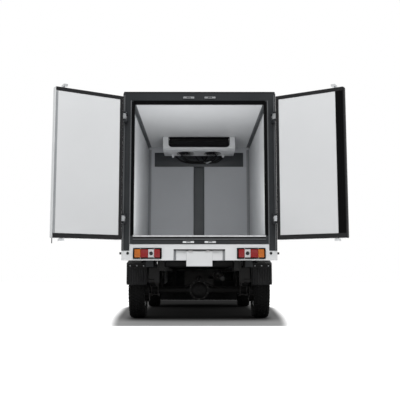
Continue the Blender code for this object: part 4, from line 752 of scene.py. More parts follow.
def buildFrameStrips():
    look = rearFrame
    low, top = look["postFoot"] + 0.004, look["top"] - 0.034
    ridge, seal = look["ridgeProud"], look["sealProud"]
    strips = (
        ("postSealRight", (0.7925, 0.7995), (-seal, 0.003), (low, top), "sealRubber"),
        # the ridges are painted paler than the frame: painted highlight where they catch the light
        ("postRidgeRight", (0.7790, 0.7915), (-ridge, 0.003), (low, top), "framePale"),
        ("postInnerRidgeRight", (0.7105, 0.7215), (-seal, 0.003), (look["sillLow"], 2.30),
         "framePale"),
        # jamb seal and lip in near-black: painted shade in the jamb gap
        ("jambSealRight", (0.679, 0.690), (0.004, 0.046), (look["floorTop"] + 0.012, 2.2865),
         "gapBlack"),
        ("jambLipRight", (0.684, 0.7095), (-seal, 0.003), (look["floorTop"], 2.2865),
         "gapBlack"),
    )
    for name, across, along, up, finish in strips:
        strip = addPlate(name, across, along, up, 0.0014, 2)
        onBothSides(strip, finish)
    bars = (
        ("headerCap", 0.772, (-0.003, 0.006), (2.3795, 2.3935), "sealRubber"),
        ("headerRidge", 0.709, (-seal, 0.003), (2.302, 2.3165), "framePaint"),
        # header seals in near-black: painted shade in the gap under the header
        ("headerSeal", 0.694, (-seal, 0.003), (2.2845, 2.2985), "gapBlack"),
        ("headerUnderSeal", 0.686, (0.004, 0.046), (2.264, 2.290), "gapBlack"),
        ("thresholdLip", 0.684, (-0.0020, 0.0548), (0.8675, 0.8805), "zinc"),
        ("sillGroove", 0.684, (-0.0015, 0.003), (0.8500, 0.8674), "sealRubber"),
        # the sill ridge is painted paler: painted highlight
        ("sillRidge", 0.684, (-0.0020, 0.003), (0.8360, 0.8470), "framePale"),
        ("sillSeal", 0.684, (-0.0020, 0.003), (0.8270, 0.8345), "sealRubber"),
        ("sillFoot", 0.684, (-0.0030, 0.003), (0.7920, 0.7965), "sealRubber"),
    )
    for name, half, along, up, finish in bars:
        put(addPlate(name, (-half, half), along, up, 0.0013, 2), finish)


def buildHingeLeaf(name, low, top):  # cranked strap leaf bolted to the post beside the ears
    middle, tall = (low + top) / 2, top - low
    leaf = addPlate(name, (0.757, 0.797), (-0.0065, -0.0028), (low, top), 0)
    roundAlong(leaf, "Y", 0.006, 4)
    soften(leaf, 0.0009)
    roll = addBar(name + "Roll", (0.7955, rearY - 0.004, low + tall * 0.10),
                  (0.7955, rearY - 0.004, top - tall * 0.10), 0.0042, 12)
    onBothSides(leaf, "framePale")
    bolts = [addBolt(name + "Bolt", (x, rearY - 0.006, middle + tall * share), 0.0062, 0.0050)
             for x, share in ((0.768, -0.36), (0.778, -0.12), (0.768, 0.12), (0.778, 0.36))]
    return joinAll(name + "Bolts", [roll] + bolts)


def buildKeepers():
    for index, height in enumerate(rearFrame["keeperRows"]):
        plate = addPlate("keeperPlateRight", (0.054, 0.170), (-0.0098, -sink),
                         (height - 0.0095, height + 0.0095), 0)
        roundAlong(plate, "Y", 0.005, 3)
        slot = addPlate("slotCutter", (0.090, 0.134), (-0.02, 0.01),
                        (height - 0.0055, height + 0.0055), 0)
        cutAway(plate, slot)
        soften(plate, 0.0010, 2, 40)
        lugs = [addBolt("lug", (x, rearY - 0.0092, height), 0.0052, 0.0045) for x in (0.069, 0.156)]
        hook = addPlate("hook", (0.099, 0.125), (-0.0125, -0.0088),
                        (height - 0.008, height - 0.003), 0.001)
        plate = joinAll("keeperPlateRight%d" % index, [plate, hook] + lugs)
        onBothSides(plate, "zinc" if index == 0 else "doorEdge")


def buildFrame():  # the frame itself, with its top corners cut off at a slant
    frameTwin = dress("box_rear_frame", "framePaint", bevel=0)
    for side in (-1, 1):
        cutter = addCorner("corner", [(side * 0.774, 2.41), (side * 0.82, 2.41),
                                      (side * 0.82, 2.362), (side * 0.8005, 2.372)],
                           (rearY - 0.05, rearY + 0.08), "Y")
        cutAway(frameTwin, cutter)
    soften(frameTwin, 0.0016, 2, 40)


buildFrame()
buildFrameStrips()
for index, (low, top) in enumerate(rearFrame["leafRows"]):
    onBothSides(buildHingeLeaf("frameLeafRight%d" % index, low, top), "zinc")
buildKeepers()


# ---- inside of the box: slate corner trims, the panel bands on the front wall, floor ribs
print("load space")
inside = {
    "half": 0.725,
    "floor": 0.8778,
    "ceiling": 2.317,
    "front": 2.574,
    "trim": 0.037,
    "trimThick": 0.003,
    "bandHalf": 0.640,
    "bandUp": (2.030, 2.236),
    "stemHalf": 0.077,
    "ribPitch": 0.0725,
}


def angleRing(x, y, legX, legY, thick):  # corner at x, y; the legs run towards smaller x and y
    return [(x, y), (x - legX, y), (x - legX, y - thick), (x - thick - 0.006, y - thick),
            (x - thick, y - thick - 0.006), (x - thick, y - legY), (x, y - legY)]


def buildInside():
    look = inside
    half, leg, thick = look["half"] - 0.0006, look["trim"], look["trimThick"]
    rear, front = rearY + 0.056, rearY + look["front"] - 0.0006
    top = look["ceiling"] - 0.0006
    ceilingTrim = addCorner("ceilingTrimRight", angleRing(half, top, leg, leg, thick),
                            (rear, front), "Y")
    soften(ceilingTrim, 0.0008, 1)
    onBothSides(ceilingTrim, "slatePanel")
    cornerTrim = addCorner("cornerTrimRight", angleRing(half, front, leg, leg, thick),
                           (look["floor"] + 0.0405, top - leg - 0.001), "Z")
    soften(cornerTrim, 0.0008, 1)
    onBothSides(cornerTrim, "slatePale")
    skirt = addPlate("wallSkirtRight", (half - 0.004, half), (0.058, look["front"] - 0.045),
                     (look["floor"] + 0.0006, look["floor"] + 0.040), 0.0015)
    onBothSides(skirt, "zinc")
    low, high = look["bandUp"]
    face = look["front"] - 0.0006
    band = addPlate("frontBand", (-look["bandHalf"], look["bandHalf"]), (face - 0.004, face),
                    (low, high), 0.0012)
    put(band, "slatePanel")
    stem = addPlate("frontStem", (-look["stemHalf"], look["stemHalf"]), (face - 0.006, face),
                    (look["floor"] + 0.002, low - 0.0006), 0.0015)
    pushFaces(stem, facing["-Y"], inset=0.012, depth=0.0015)
    put(stem, "slatePanel")
    sheets = []
    for side in (-1, 1):  # two flush panels beside the stem, with a bead of sealant round each
        near, far = look["stemHalf"] + 0.004, look["half"] - leg - 0.004
        bead = addPlate("sheetBead", sorted((side * near, side * far)), (face - 0.0016, face),
                        (look["floor"] + 0.006, low - 0.004), 0)
        pushFaces(bead, facing["-Y"], inset=0.005, depth=-0.0012)
        sheets.append(bead)
    # the front wall's panels take its darker colour: painted shade
    put(joinAll("frontSheets", sheets), "wallFar")
    ribs = []
    count = int(2 * (look["half"] - 0.05) / look["ribPitch"])
    for index in range(count + 1):
        x = -look["half"] + 0.05 + index * look["ribPitch"]
        rib = addPlate("rib", (x - 0.011, x + 0.011), (0.060, look["front"] - 0.05),
                       (look["floor"] - 0.0005, look["floor"] + 0.0035), 0)
        pushFaces(rib, facing["+Z"], inset=0.004, depth=0.0015)
        ribs.append(rib)
    put(joinAll("floorRibs", ribs), "zinc")


buildInside()


# ---- rear doors: skin and hinges, liner, seals, edge profiles and lock gear details
print("rear doors")
rearDoor = {
    "across": (0.010, 0.725),
    "along": (-0.061, -0.006),
    "up": (0.825, 2.295),
    "sealThick": 0.0028,
    "topBand": 0.038,
    "lowBand": 0.046,
    "hingeBand": 0.034,
    "edgeBand": 0.033,
    "flapBand": 0.088,
    "rodX": 0.121,
    "rodBack": 0.0813,
    "guideShares": (0.06, 0.36, 0.64, 0.94),
    "handleUp": 1.21,
    "hingeRows": (1.046, 2.107),
}


def doorPin(side):
    return Vector((side * truck["pinX"], rearY - truck["pinBack"], 0))


def hangOnDoor(piece, finish, side, smooth=35):  # piece modelled on the closed right-hand door
    if side < 0:
        twin = mirrorPiece(piece, piece.name + "Left")
        bpy.data.objects.remove(piece, do_unlink=True)
        piece = twin
    turnPiece(piece, side * truck["doorAngle"], doorPin(side))
    body = "rear_door_right_body" if side > 0 else "rear_door_left_body"
    return put(piece, finish, body, smooth)


def dressDoor(side):
    name = "rear_door_right" if side > 0 else "rear_door_left"
    twin = dress(name, "panelWhite", name + "_body", bevel=0.0012, steps=2, angle=40)
    twin.data.materials.append(finishes["zinc"])
    twin.data.materials.append(finishes["sealRubber"])
    x0 = rearDoor["across"][0]
    turn = Matrix.Rotation(side * truck["doorAngle"], 4, "Z")
    editAll(twin)
    spot = doorPin(side) + turn @ (Vector((side * (x0 + 0.0105), rearY, 1)) - doorPin(side))
    bpy.ops.mesh.bisect(plane_co=spot, plane_no=turn @ Vector((side, 0, 0)))
    endEdit(twin)
    back = Matrix.Rotation(-side * truck["doorAngle"], 4, "Z")
    for face in twin.data.polygons:  # straps and knuckles stand outside the slab
        spot = back @ (face.center - doorPin(side)) + doorPin(side)
        if abs(spot.x) > 0.7265 or spot.y < rearY - 0.0615:
            face.material_index = 1
        elif side > 0 and abs(spot.x) < x0 + 0.011 and spot.y > rearY - 0.059:
            face.material_index = 2


def buildDoor(side):
    look = rearDoor
    x0, x1 = look["across"]
    z0, z1 = look["up"]
    face = look["along"][1]
    skin = look["along"][0]
    proud = face + look["sealThick"]
    edge = look["flapBand"] if side > 0 else look["edgeBand"]
    tag = "Right" if side > 0 else "Left"
    liner = addPlate("doorLiner" + tag, (x0 + edge + 0.003, x1 - look["hingeBand"] - 0.003),
                     (face - sink, face + 0.0012),
                     (z0 + look["lowBand"] + 0.003, z1 - look["topBand"] - 0.003), 0)
    pushFaces(liner, facing["+Y"], inset=0.006, depth=0.0006)
    hangOnDoor(liner, "wallInside", side)
    inner, outer = x0 + 0.0105, x1 - 0.001
    seals = [addPlate("seal", across, (face - sink, proud), up, 0)
             for across, up in (((inner, outer), (z1 - look["topBand"], z1 - 0.001)),
                                ((inner, outer), (z0 + 0.001, z0 + look["lowBand"])),
                                ((x1 - look["hingeBand"], outer),
                                 (z0 + look["lowBand"] - 0.001, z1 - look["topBand"] + 0.001)))]
    for seal in seals:  # hollow bead: a lip at each side of a groove
        pushFaces(seal, facing["+Y"], inset=0.007, depth=-0.0012)
        pushFaces(seal, lambda middle, normal: normal.y > 0.9 and middle.y < rearY + proud - 0.001,
                  inset=0.006, depth=0.0010)
    hangOnDoor(joinAll("doorSeal" + tag, seals), "sealRubber", side)
    if side > 0:  # the wide flap seal of the door that closes last, in five lips
        lips = []
        for step in range(5):
            low = x0 + 0.0105 + step * 0.0158
            lip = addPlate("lip", (low, low + 0.0128), (face - sink, proud - 0.0006 * (step % 2)),
                           (z0 + look["lowBand"], z1 - look["topBand"]), 0.0012)
            lips.append(lip)
        # backing that shows between them; the whole flap seal is near-black, painted shade in its
        # grooves
        lips.append(addPlate("lip", (x0 + 0.0105, x0 + 0.0860), (face - sink, face + 0.0006),
                             (z0 + look["lowBand"], z1 - look["topBand"]), 0))
        hangOnDoor(joinAll("flapSealRight", lips), "gapBlack", side)
    else:
        strip = addPlate("edgeProfileLeft", (x0 + 0.0095, x0 + edge), (face - sink, face + 0.002),
                         (z0 + look["lowBand"], z1 - look["topBand"]), 0)
        pushFaces(strip, facing["+Y"], inset=0.008, depth=-0.0009)
        hangOnDoor(strip, "doorEdge", side)
    # rim of folded aluminium round the outer skin
    bars = [addPlate("rim", across, (skin - lift, skin + 0.001), up, 0.0010)
            for across, lift, up in (((x0 + 0.0050, x0 + 0.030), 0.0016, (z0, z1)),
                                     ((x1 - 0.030, x1 - 0.001), 0.0020, (z0, z1)),
                                     ((x0 + 0.030, x1 - 0.030), 0.0018, (z1 - 0.030, z1)),
                                     ((x0 + 0.030, x1 - 0.030), 0.0018, (z0, z0 + 0.030)))]
    hangOnDoor(joinAll("doorRim" + tag, bars), "doorEdge", side)
    bolts = []
    for row in look["hingeRows"]:
        for share in (0.02, 0.055, 0.09):
            bolts.append(addBolt("bolt", (x1 - 0.006 - share * 1.1, rearY + skin - 0.0085, row),
                                 0.0065, 0.006))
    for share in look["guideShares"]:
        height = z0 + (z1 - z0) * share
        bridge = addPlate("bridge", (look["rodX"] - 0.024, look["rodX"] + 0.024),
                          (skin - 0.0345, skin - 0.030), (height - 0.014, height + 0.014), 0.002, 3)
        bolts.append(bridge)
        for way in (-1, 1):
            foot = addPlate("foot", (look["rodX"] + way * 0.032 - 0.011,
                                     look["rodX"] + way * 0.032 + 0.011),
                            (skin - 0.0045, skin - sink), (height - 0.014, height + 0.014), 0.0012)
            bolts.append(foot)
            bolts.append(addBolt("bolt", (look["rodX"] + way * 0.034, rearY + skin - 0.004, height),
                                 0.005, 0.005))
    hangOnDoor(joinAll("doorFixings" + tag, bolts), "zinc", side)
    if side < 0:  # drop bolt at the free bottom corner
        rod = addBar("drop", (0.0215, rearY - 0.020, 0.7735), (0.0215, rearY - 0.020, 0.846),
                     0.0042, 14)
        guide = addPlate("guide", (0.0125, 0.0305), (-0.0295, -0.0105), (0.826, 0.842))
        hangOnDoor(joinAll("dropBolt", [soften(rod, 0.0010, 2, 40), guide]), "darkPlastic", side)
    # handle: rubber grip over the flat bar, and its catch plate
    handleEnd = look["rodX"] + 0.36
    grip = addPlate("gripSleeve" + tag, (handleEnd - 0.190, handleEnd - 0.045),
                    (-look["rodBack"] - 0.0205, -look["rodBack"] - 0.0005),
                    (look["handleUp"] - 0.0165, look["handleUp"] + 0.0165), 0)
    roundAlong(grip, "X", 0.007, 4)
    for step in range(6):
        spot = handleEnd - 0.180 + step * 0.0235
        cutAway(grip, addPlate("groove", (spot, spot + 0.004), (-0.12, -look["rodBack"] - 0.018),
                               (look["handleUp"] - 0.03, look["handleUp"] + 0.03), 0))
    hangOnDoor(soften(grip, 0.0008, 1, 45), "sealRubber", side)
    plate = addPlate("catchPlate" + tag, (handleEnd - 0.040, handleEnd + 0.040),
                     (skin - 0.0035, skin - sink),
                     (look["handleUp"] - 0.060, look["handleUp"] + 0.060), 0)
    roundAlong(plate, "Y", 0.010, 4)
    parts = [soften(plate, 0.0008, 1)]
    for x, z in ((-0.030, -0.048), (0.030, -0.048), (-0.030, 0.048), (0.030, 0.048)):
        parts.append(addBolt("bolt", (handleEnd + x, rearY + skin - 0.003, look["handleUp"] + z),
                             0.0045, 0.0045))
    hangOnDoor(joinAll("catchPlate" + tag, parts), "zinc", side)


for side in (1, -1):
    dressDoor(side)
    buildDoor(side)


# ---- evaporator under the ceiling: moulded case, outlet grille, two fans, lugs, hoses
print("evaporator")
cooler = {
    "half": 0.485,
    "rear": 1.870,
    "front": 2.330,
    "low": 2.145,
    "top": 2.3162,
    "mouthHalf": 0.405,
    "mouthLow": 2.1876,
    "fanX": 0.185,
    "fanY": 2.165,
    "fanRadius": 0.120,
}


def buildCooler():
    look = cooler
    dress("evaporator", "housingPale", bevel=0.006, steps=3, angle=40)
    # dark throat with vanes
    throat = addPlate("outletThroat", (-look["mouthHalf"] + 0.002, look["mouthHalf"] - 0.002),
                      (look["rear"] + 0.030, look["rear"] + 0.034),
                      (look["mouthLow"] + 0.002, look["top"] - 0.006), 0)
    pushFaces(throat, facing["-Y"], inset=0.006, depth=-0.001)
    put(throat, "sealRubber")
    vanes = []
    for step in range(4):
        height = look["mouthLow"] + 0.022 + step * 0.026
        vane = addPlate("vane", (-look["mouthHalf"] + 0.004, look["mouthHalf"] - 0.004),
                        (look["rear"] + 0.012, look["rear"] + 0.028), (height, height + 0.0025), 0)
        turnPiece(vane, math.radians(-22), (0, rearY + look["rear"] + 0.02, height), "X")
        vanes.append(soften(vane, 0.0008, 1))
    for step in range(9):
        x = -0.36 + step * 0.09
        vanes.append(addPlate("post", (x - 0.0012, x + 0.0012),
                              (look["rear"] + 0.020, look["rear"] + 0.032),
                              (look["mouthLow"] + 0.003, look["top"] - 0.008), 0.0005))
    put(joinAll("outletVanes", vanes), "sealRubber")
    frameRing = addPlate("outletRim", (-look["mouthHalf"] - 0.006, look["mouthHalf"] + 0.006),
                         (look["rear"] - 0.003, look["rear"] + 0.010),
                         (look["mouthLow"] - 0.006, look["top"] - 0.0005), 0)
    roundAlong(frameRing, "Y", 0.044, 6, lambda middle: middle.z < 2.25)
    hole = addPlate("hole", (-look["mouthHalf"], look["mouthHalf"]),
                    (look["rear"] - 0.02, look["rear"] + 0.03),
                    (look["mouthLow"], look["top"] + 0.01), 0)
    roundAlong(hole, "Y", 0.040, 6, lambda middle: middle.z < 2.25)
    cutAway(frameRing, hole)
    put(soften(frameRing, 0.0012, 2, 40), "darkPlastic")
    # two fans behind ring guards in the underside
    for side in (-1, 1):
        centre = (side * look["fanX"], rearY + look["fanY"], look["low"])
        tag = "Right" if side > 0 else "Left"
        rings = [addRing("ring", (centre[0], centre[1], look["low"] - 0.003),
                         look["fanRadius"] * share, 0.0016, "Z", 40, 6)
                 for share in (0.98, 0.82, 0.66, 0.50, 0.34)]
        for step in range(4):
            angle = math.pi / 4 * step
            reach = Vector((math.cos(angle), math.sin(angle), 0)) * look["fanRadius"]
            middle = Vector((centre[0], centre[1], look["low"] - 0.0045))
            rings.append(addBar("spoke", middle - reach, middle + reach, 0.0017, 8))
        put(joinAll("fanGuard" + tag, rings), "sealRubber")
        hub = addBar("hub", (centre[0], centre[1], look["low"] + 0.002),
                     (centre[0], centre[1], look["low"] + 0.020), 0.034, 24, 0.030)
        blades = [hub]
        for step in range(5):
            angle = 2 * math.pi / 5 * step
            blade = addPlate("blade", (centre[0] + 0.026, centre[0] + look["fanRadius"] - 0.010),
                             (look["fanY"] - 0.030, look["fanY"] + 0.030),
                             (look["low"] + 0.011, look["low"] + 0.0135), 0.0008)
            turnPiece(blade, math.radians(16), (centre[0], centre[1], look["low"] + 0.012), "X")
            blades.append(turnPiece(blade, angle, centre))
        put(joinAll("fanBlades" + tag, blades), "sealRubber")
    # hanging lugs at the rear corners of the case, and screws along its face
    lugs = []
    for x in (-0.363, 0.337):
        lug = addPlate("lug", (x - 0.015, x + 0.015), (2.270, 2.305),
                       (look["low"] - 0.030, look["low"] + 0.002), 0)
        roundAlong(lug, "Y", 0.008, 4, lambda middle: middle.z < 2.13)
        lugs.append(soften(lug, 0.0015))
    put(joinAll("caseLugs", lugs), "housingPale")
    screws = []
    for x in (-0.44, -0.15, 0.15, 0.44):
        screws.append(addBolt("screw", (x, rearY + look["rear"] + 0.014, look["low"] + 0.018),
                              0.0045, 0.004))
    put(joinAll("caseScrews", screws), "housingPale")
    # near-black bar along the top of the outlet: painted shade inside the mouth
    put(addPlate("outletTopBar", (-look["mouthHalf"] + 0.001, look["mouthHalf"] - 0.001),
                 (look["rear"] - 0.0045, look["rear"] + 0.008), (look["top"] - 0.024, look["top"]),
                 0.002, 2), "gapBlack")
    # coolant hoses that droop below the case, and the pale unions on them
    high = look["low"] - 0.002
    runs = (
        ((-0.33, 2.352), 0.092, (0.32, 2.360), 0.0120),
        ((-0.24, 2.380), 0.074, (0.12, 2.392), 0.0100),
        ((-0.05, 2.356), 0.082, (0.34, 2.376), 0.0100),
        ((0.04, 2.395), 0.055, (0.24, 2.402), 0.0080),
    )
    for index, ((startX, startY), sag, (endX, endY), radius) in enumerate(runs):
        points = [(startX, rearY + look["front"] - 0.003, high + 0.034),
                  (startX, rearY + startY, high + 0.026)]
        for step in range(13):
            share = step / 12
            depth = sag * (1 - (2 * share - 1) ** 4)
            points.append((startX + (endX - startX) * share,
                           rearY + startY + (endY - startY) * share, high - 0.006 - depth))
        points += [(endX, rearY + endY, high + 0.026),
                   (endX, rearY + look["front"] - 0.003, high + 0.034)]
        put(addPipe("coolantHose%d" % index, points, radius, 12), "sealRubber")
    unions = []
    for x, y, z in ((0.088, 2.352, 2.066), (0.122, 2.348, 2.048), (0.150, 2.354, 2.062)):
        union = addBar("union", (x - 0.014, rearY + y, z), (x + 0.014, rearY + y, z + 0.006),
                       0.0125, 6)
        collar = addBar("collar", (x - 0.026, rearY + y, z), (x + 0.026, rearY + y, z + 0.006),
                        0.0085, 16)
        unions += [soften(union, 0.0012, 1), soften(collar, 0.001, 1)]
    put(joinAll("hoseUnions", unions), "zinc")


buildCooler()


# ---- rear bumper: softened panel, recess hood, buffers, blank board, tail lamps
print("bumper and lamps")
rearEnd = {
    "bumperLow": 0.6244,
    "recessHalf": 0.264,
    "recessTop": 0.7375,
    "boardHalf": 0.134,
    "board": (0.5634, 0.722),
    "lampAcross": (0.386, 0.679),
    "lampUp": (0.6407, 0.7508),
    "bufferUp": 0.6975,
    "segments": (("lensRed", 0.0, 0.235), ("lensClear", 0.235, 0.465), ("lensRed", 0.465, 0.765),
                 ("lensAmber", 0.765, 1.0)),
}


def buildLamp():
    look = rearEnd
    x0, x1 = look["lampAcross"]
    z0, z1 = look["lampUp"]
    rim = addPlate("lampRimRight", (x0 + 0.001, x1 - 0.001), (-0.0145, 0.050),
                   (z0 + 0.001, z1 - 0.001), 0)
    roundAlong(rim, "Y", 0.017, 5)
    hole = addPlate("hole", (x0 + 0.0140, x1 - 0.0140), (-0.03, -0.004), (z0 + 0.012, z1 - 0.012),
                    0)
    roundAlong(hole, "Y", 0.010, 4)
    cutAway(rim, hole)
    # the rim is near-black, darker than rubber: painted shade round the lenses
    onBothSides(soften(rim, 0.0014, 2, 40), "gapBlack")
    inner, outer = x0 + 0.0150, x1 - 0.0150
    for index, (finish, low, high) in enumerate(look["segments"]):
        left = inner + (outer - inner) * low + 0.0008
        right = inner + (outer - inner) * high - 0.0008
        lens = addPlate("lens%dRight" % index, (left, right), (-0.0135, -0.003),
                        (z0 + 0.0130, z1 - 0.0130), 0)
        roundAlong(lens, "Y", 0.007, 4, lambda middle: (index == 0 and middle.x < x0 + 0.03)
                   or (index == 3 and middle.x > x1 - 0.03))
        pushFaces(lens, facing["-Y"], inset=0.006, depth=0.0022)
        if finish == "lensRed" and index:  # reflector field in the wide red segment
            pushFaces(lens, facing["-Y"], inset=0.009, depth=-0.0012)
        onBothSides(soften(lens, 0.0009, 2, 25), finish)
    middle = inner + (outer - inner) * 0.35
    height = (z0 + z1) / 2
    ring = addRing("bulbRing", (middle, rearY - 0.0158, height), 0.0165, 0.0030, "Y", 28, 8)
    bulb = addBar("bulb", (middle, rearY - 0.0150, height), (middle, rearY - 0.0188, height),
                  0.0145, 24, 0.011)
    onBothSides(joinAll("bulbShadeRight", [ring, soften(bulb, 0.001)]), "darkPlastic")
    screws = []
    for share in (0.235, 0.765):
        for z in (z0 + 0.0062, z1 - 0.0062):
            screws.append(addBolt("screw", (inner + (outer - inner) * share, rearY - 0.0140, z),
                                  0.0024, 0.0022))
    onBothSides(joinAll("lampScrewsRight", screws), "zinc")
    for tag in ("Right", "Left"):
        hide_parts("tail_lamp_" + tag.lower())


def buildRearEnd():
    look = rearEnd
    panel = dress("rear_bumper", "bodyPaint", bevel=0.003, steps=3, angle=40)
    panel.data.materials.append(finishes["chassisBlack"])
    for face in panel.data.polygons:  # the arms behind the panel are black
        out, back, up = abs(face.center.x), face.center.y - rearY, face.center.z
        if back > 0.0545 or (up < 0.6235 and out > 0.2) or (
                back > 0.02 and 0.28 < out < 0.56 and up < 0.70):
            face.material_index = 1
    hood = addPlate("recessHood", (-look["recessHalf"] + 0.001, look["recessHalf"] - 0.001),
                    (0.006, 0.034), (look["recessTop"] - 0.012, look["recessTop"] - 0.001),
                    0.0025, 3)
    put(hood, "sealRubber")
    # grey cheeks down the sides of the plate recess: painted shade on its side walls
    edge = look["recessHalf"]
    cheek = addCorner("recessCheekRight", [(edge - 0.001, 0.006 + rearY),
                                           (edge - 0.001, rearY + 0.034),
                                           (edge - 0.026, rearY + 0.034)],
                      (look["bumperLow"] + 0.001, look["recessTop"] - 0.013), "Z")
    onBothSides(soften(cheek, 0.001, 1), "doorEdge")
    for x in (-0.09, 0.09):  # lamps that would light the plate, hidden under the hood
        lamp = addPlate("plateLamp", (x - 0.020, x + 0.020), (0.008, 0.032),
                        (look["recessTop"] - 0.0235, look["recessTop"] - 0.012), 0)
        pushFaces(lamp, facing["-Z"], inset=0.004, depth=0.003)
        put(soften(lamp, 0.002), "lensClear")
    low, high = look["board"]
    plate = addPlate("plateBoard", (-look["boardHalf"] + 0.003, look["boardHalf"] - 0.003),
                     (0.0215, 0.0245), (low + 0.003, high - 0.003), 0)
    roundAlong(plate, "Y", 0.006, 4)
    pushFaces(plate, facing["-Y"], inset=0.004, depth=0.0010)
    put(soften(plate, 0.0006, 1, 40), "bodyPaint")
    screws = [addBolt("screw", (x, rearY + 0.0215, high - 0.020), 0.0045, 0.0035)
              for x in (-0.075, 0.075)]
    put(joinAll("plateScrews", screws), "bodyPaint")
    for name, place, way, long in (
            ("bufferRight", (0.734, rearY + 0.004, look["bufferUp"]), (0, -1, 0), 0.010),
            ("bufferEndRight", (0.7995, rearY + 0.030, look["bufferUp"]), (1, 0, 0), 0.022)):
        start, step = Vector(place), Vector(way)
        body = addBar("buffer", start, start + step * long, 0.0125, 24, 0.0115)
        pushFaces(body, lambda middle, normal: normal.dot(step) > 0.9, inset=0.004, depth=-0.002)
        collar = addRing("collar", start + step * 0.0015, 0.0125, 0.0018,
                         "X" if way[0] else "Y", 24, 6)
        onBothSides(joinAll(name, [soften(body, 0.0012, 2, 40), collar]), "sealRubber")
    fold = addPlate("bumperFold", (-0.795, 0.795), (0.030, 0.050),
                    (look["bumperLow"] - 0.0001, look["bumperLow"] + 0.004), 0.001)
    cutAway(fold, addPlate("gap", (-0.14, 0.14), (0, 0.08), (0.6, 0.65), 0))
    put(fold, "bodyPaint")


buildRearEnd()
buildLamp()


# ---- under the truck: flaps, springs, axle, cross members, straps, splash apron
print("underside")
under = {
    "axleY": 0.75,
    "axleUp": 0.308,
    "flap": {"along": 0.346, "across": (0.560, 0.780), "up": (0.372, 0.600)},
    "ribCount": 8,
    "springAcross": (0.470, 0.530),
    "springHalf": 0.55,
    "springRise": 0.055,
    "springUp": 0.3585,
    "apron": {"along": (4.000, 4.006), "half": 0.690, "up": (0.070, 0.300)},
}


def buildFlaps():
    look = under["flap"]
    left, right = look["across"]
    low, high = look["up"]
    face = look["along"]
    parts = []
    for step in range(under["ribCount"]):  # moulded upright ribs on the face of the flap
        middle = left + 0.018 + (right - left - 0.036) * step / (under["ribCount"] - 1)
        rib = addPlate("rib", (middle - 0.0070, middle + 0.0070), (face - 0.0075, face + 0.001),
                       (low + 0.012, high - 0.050), 0)
        pushFaces(rib, facing["-Y"], inset=0.0025, depth=0.0015)
        parts.append(rib)
    hem = addPlate("hem", (left + 0.003, right - 0.003), (face - 0.004, face + 0.001),
                   (low + 0.001, low + 0.011), 0.0015)
    parts.append(hem)
    onBothSides(joinAll("flapRibsRight", parts), "flapRubber")
    bar = addPlate("flapBarRight", (left + 0.006, right - 0.006), (face - 0.0045, face + 0.0005),
                   (high - 0.040, high - 0.012), 0)
    pushFaces(bar, facing["-Y"], inset=0.005, depth=-0.0012)
    onBothSides(soften(bar, 0.0008, 1), "chassisBlack")
    bolts = [addBolt("bolt", (left + 0.038 + 0.072 * step, rearY + face - 0.004, high - 0.026),
                     0.0048, 0.005) for step in range(3)]
    onBothSides(joinAll("flapBoltsRight", bolts), "doorEdge")
    # bracket that carries the flap from the bearer above
    arm = addCorner("flapBracketRight", [(0.620, high - 0.03), (0.720, high - 0.03),
                                         (0.700, 0.700), (0.640, 0.700)],
                    (rearY + face + 0.0125, rearY + face + 0.0165), "Y")
    pushFaces(arm, facing["-Y"], inset=0.010, depth=-0.001)
    onBothSides(soften(arm, 0.0008, 1), "castIron")


def springPath(lift, share, thick):
    path = []
    for step in range(13):
        part = (2 * step / 12 - 1) * share
        path.append((rearY + under["axleY"] + under["springHalf"] * part,
                     under["springUp"] + under["springRise"] * part ** 2 + lift))
    return path + [(y, z + thick) for y, z in reversed(path)]


def buildSprings():
    left, right = under["springAcross"]
    leaves = []
    for share, lift in ((0.80, 0.0145), (0.58, 0.0235), (0.36, 0.0325)):
        leaf = addCorner("leaf", springPath(lift, share, 0.0085), (left + 0.001, right - 0.001),
                         "X")
        leaves.append(soften(leaf, 0.0012, 1))
    onBothSides(joinAll("leavesRight", leaves), "chassisBlack")
    parts = []
    axleY, axleUp = rearY + under["axleY"], under["axleUp"]
    for y in (-0.040, 0.040):
        for x in (left - 0.0075, right + 0.0075):
            parts.append(addBar("leg", (x, axleY + y, axleUp - 0.056), (x, axleY + y, 0.412),
                                0.0058, 12))
            parts.append(soften(addBar("nut", (x, axleY + y, axleUp - 0.053),
                                       (x, axleY + y, axleUp - 0.066), 0.0105, 6), 0.001, 1))
        bow = addPlate("bow", (left - 0.0125, right + 0.0125),
                       (under["axleY"] + y - 0.0058, under["axleY"] + y + 0.0058), (0.404, 0.4155),
                       0)
        roundAlong(bow, "X", 0.0052, 3)
        roundAlong(bow, "Y", 0.0045, 3, lambda spot: spot.z > 0.41)
        parts.append(bow)
    seat = addPlate("seat", (left - 0.016, right + 0.016),
                    (under["axleY"] - 0.056, under["axleY"] + 0.056),
                    (axleUp - 0.0525, axleUp - 0.0445), 0)
    roundAlong(seat, "Z", 0.012, 3)
    parts.append(soften(seat, 0.001, 1))
    onBothSides(joinAll("springClampsRight", parts), "castIron")
    ends = []
    for way in (-1, 1):  # spring eyes with their bolts
        y = axleY + way * (under["springHalf"] - 0.010)
        z = under["springUp"] + under["springRise"] + 0.002
        eyeBar = addBar("eye", (left + 0.001, y, z), (right - 0.001, y, z), 0.022, 24)
        ends.append(soften(eyeBar, 0.0015))
        ends.append(addBar("pin", (left - 0.020, y, z), (right + 0.006, y, z), 0.009, 12))
        cap = addBar("cap", (right + 0.006, y, z), (right + 0.014, y, z), 0.014, 6)
        ends.append(soften(cap, 0.001, 1))
    onBothSides(joinAll("springEyesRight", ends), "chassisBlack")


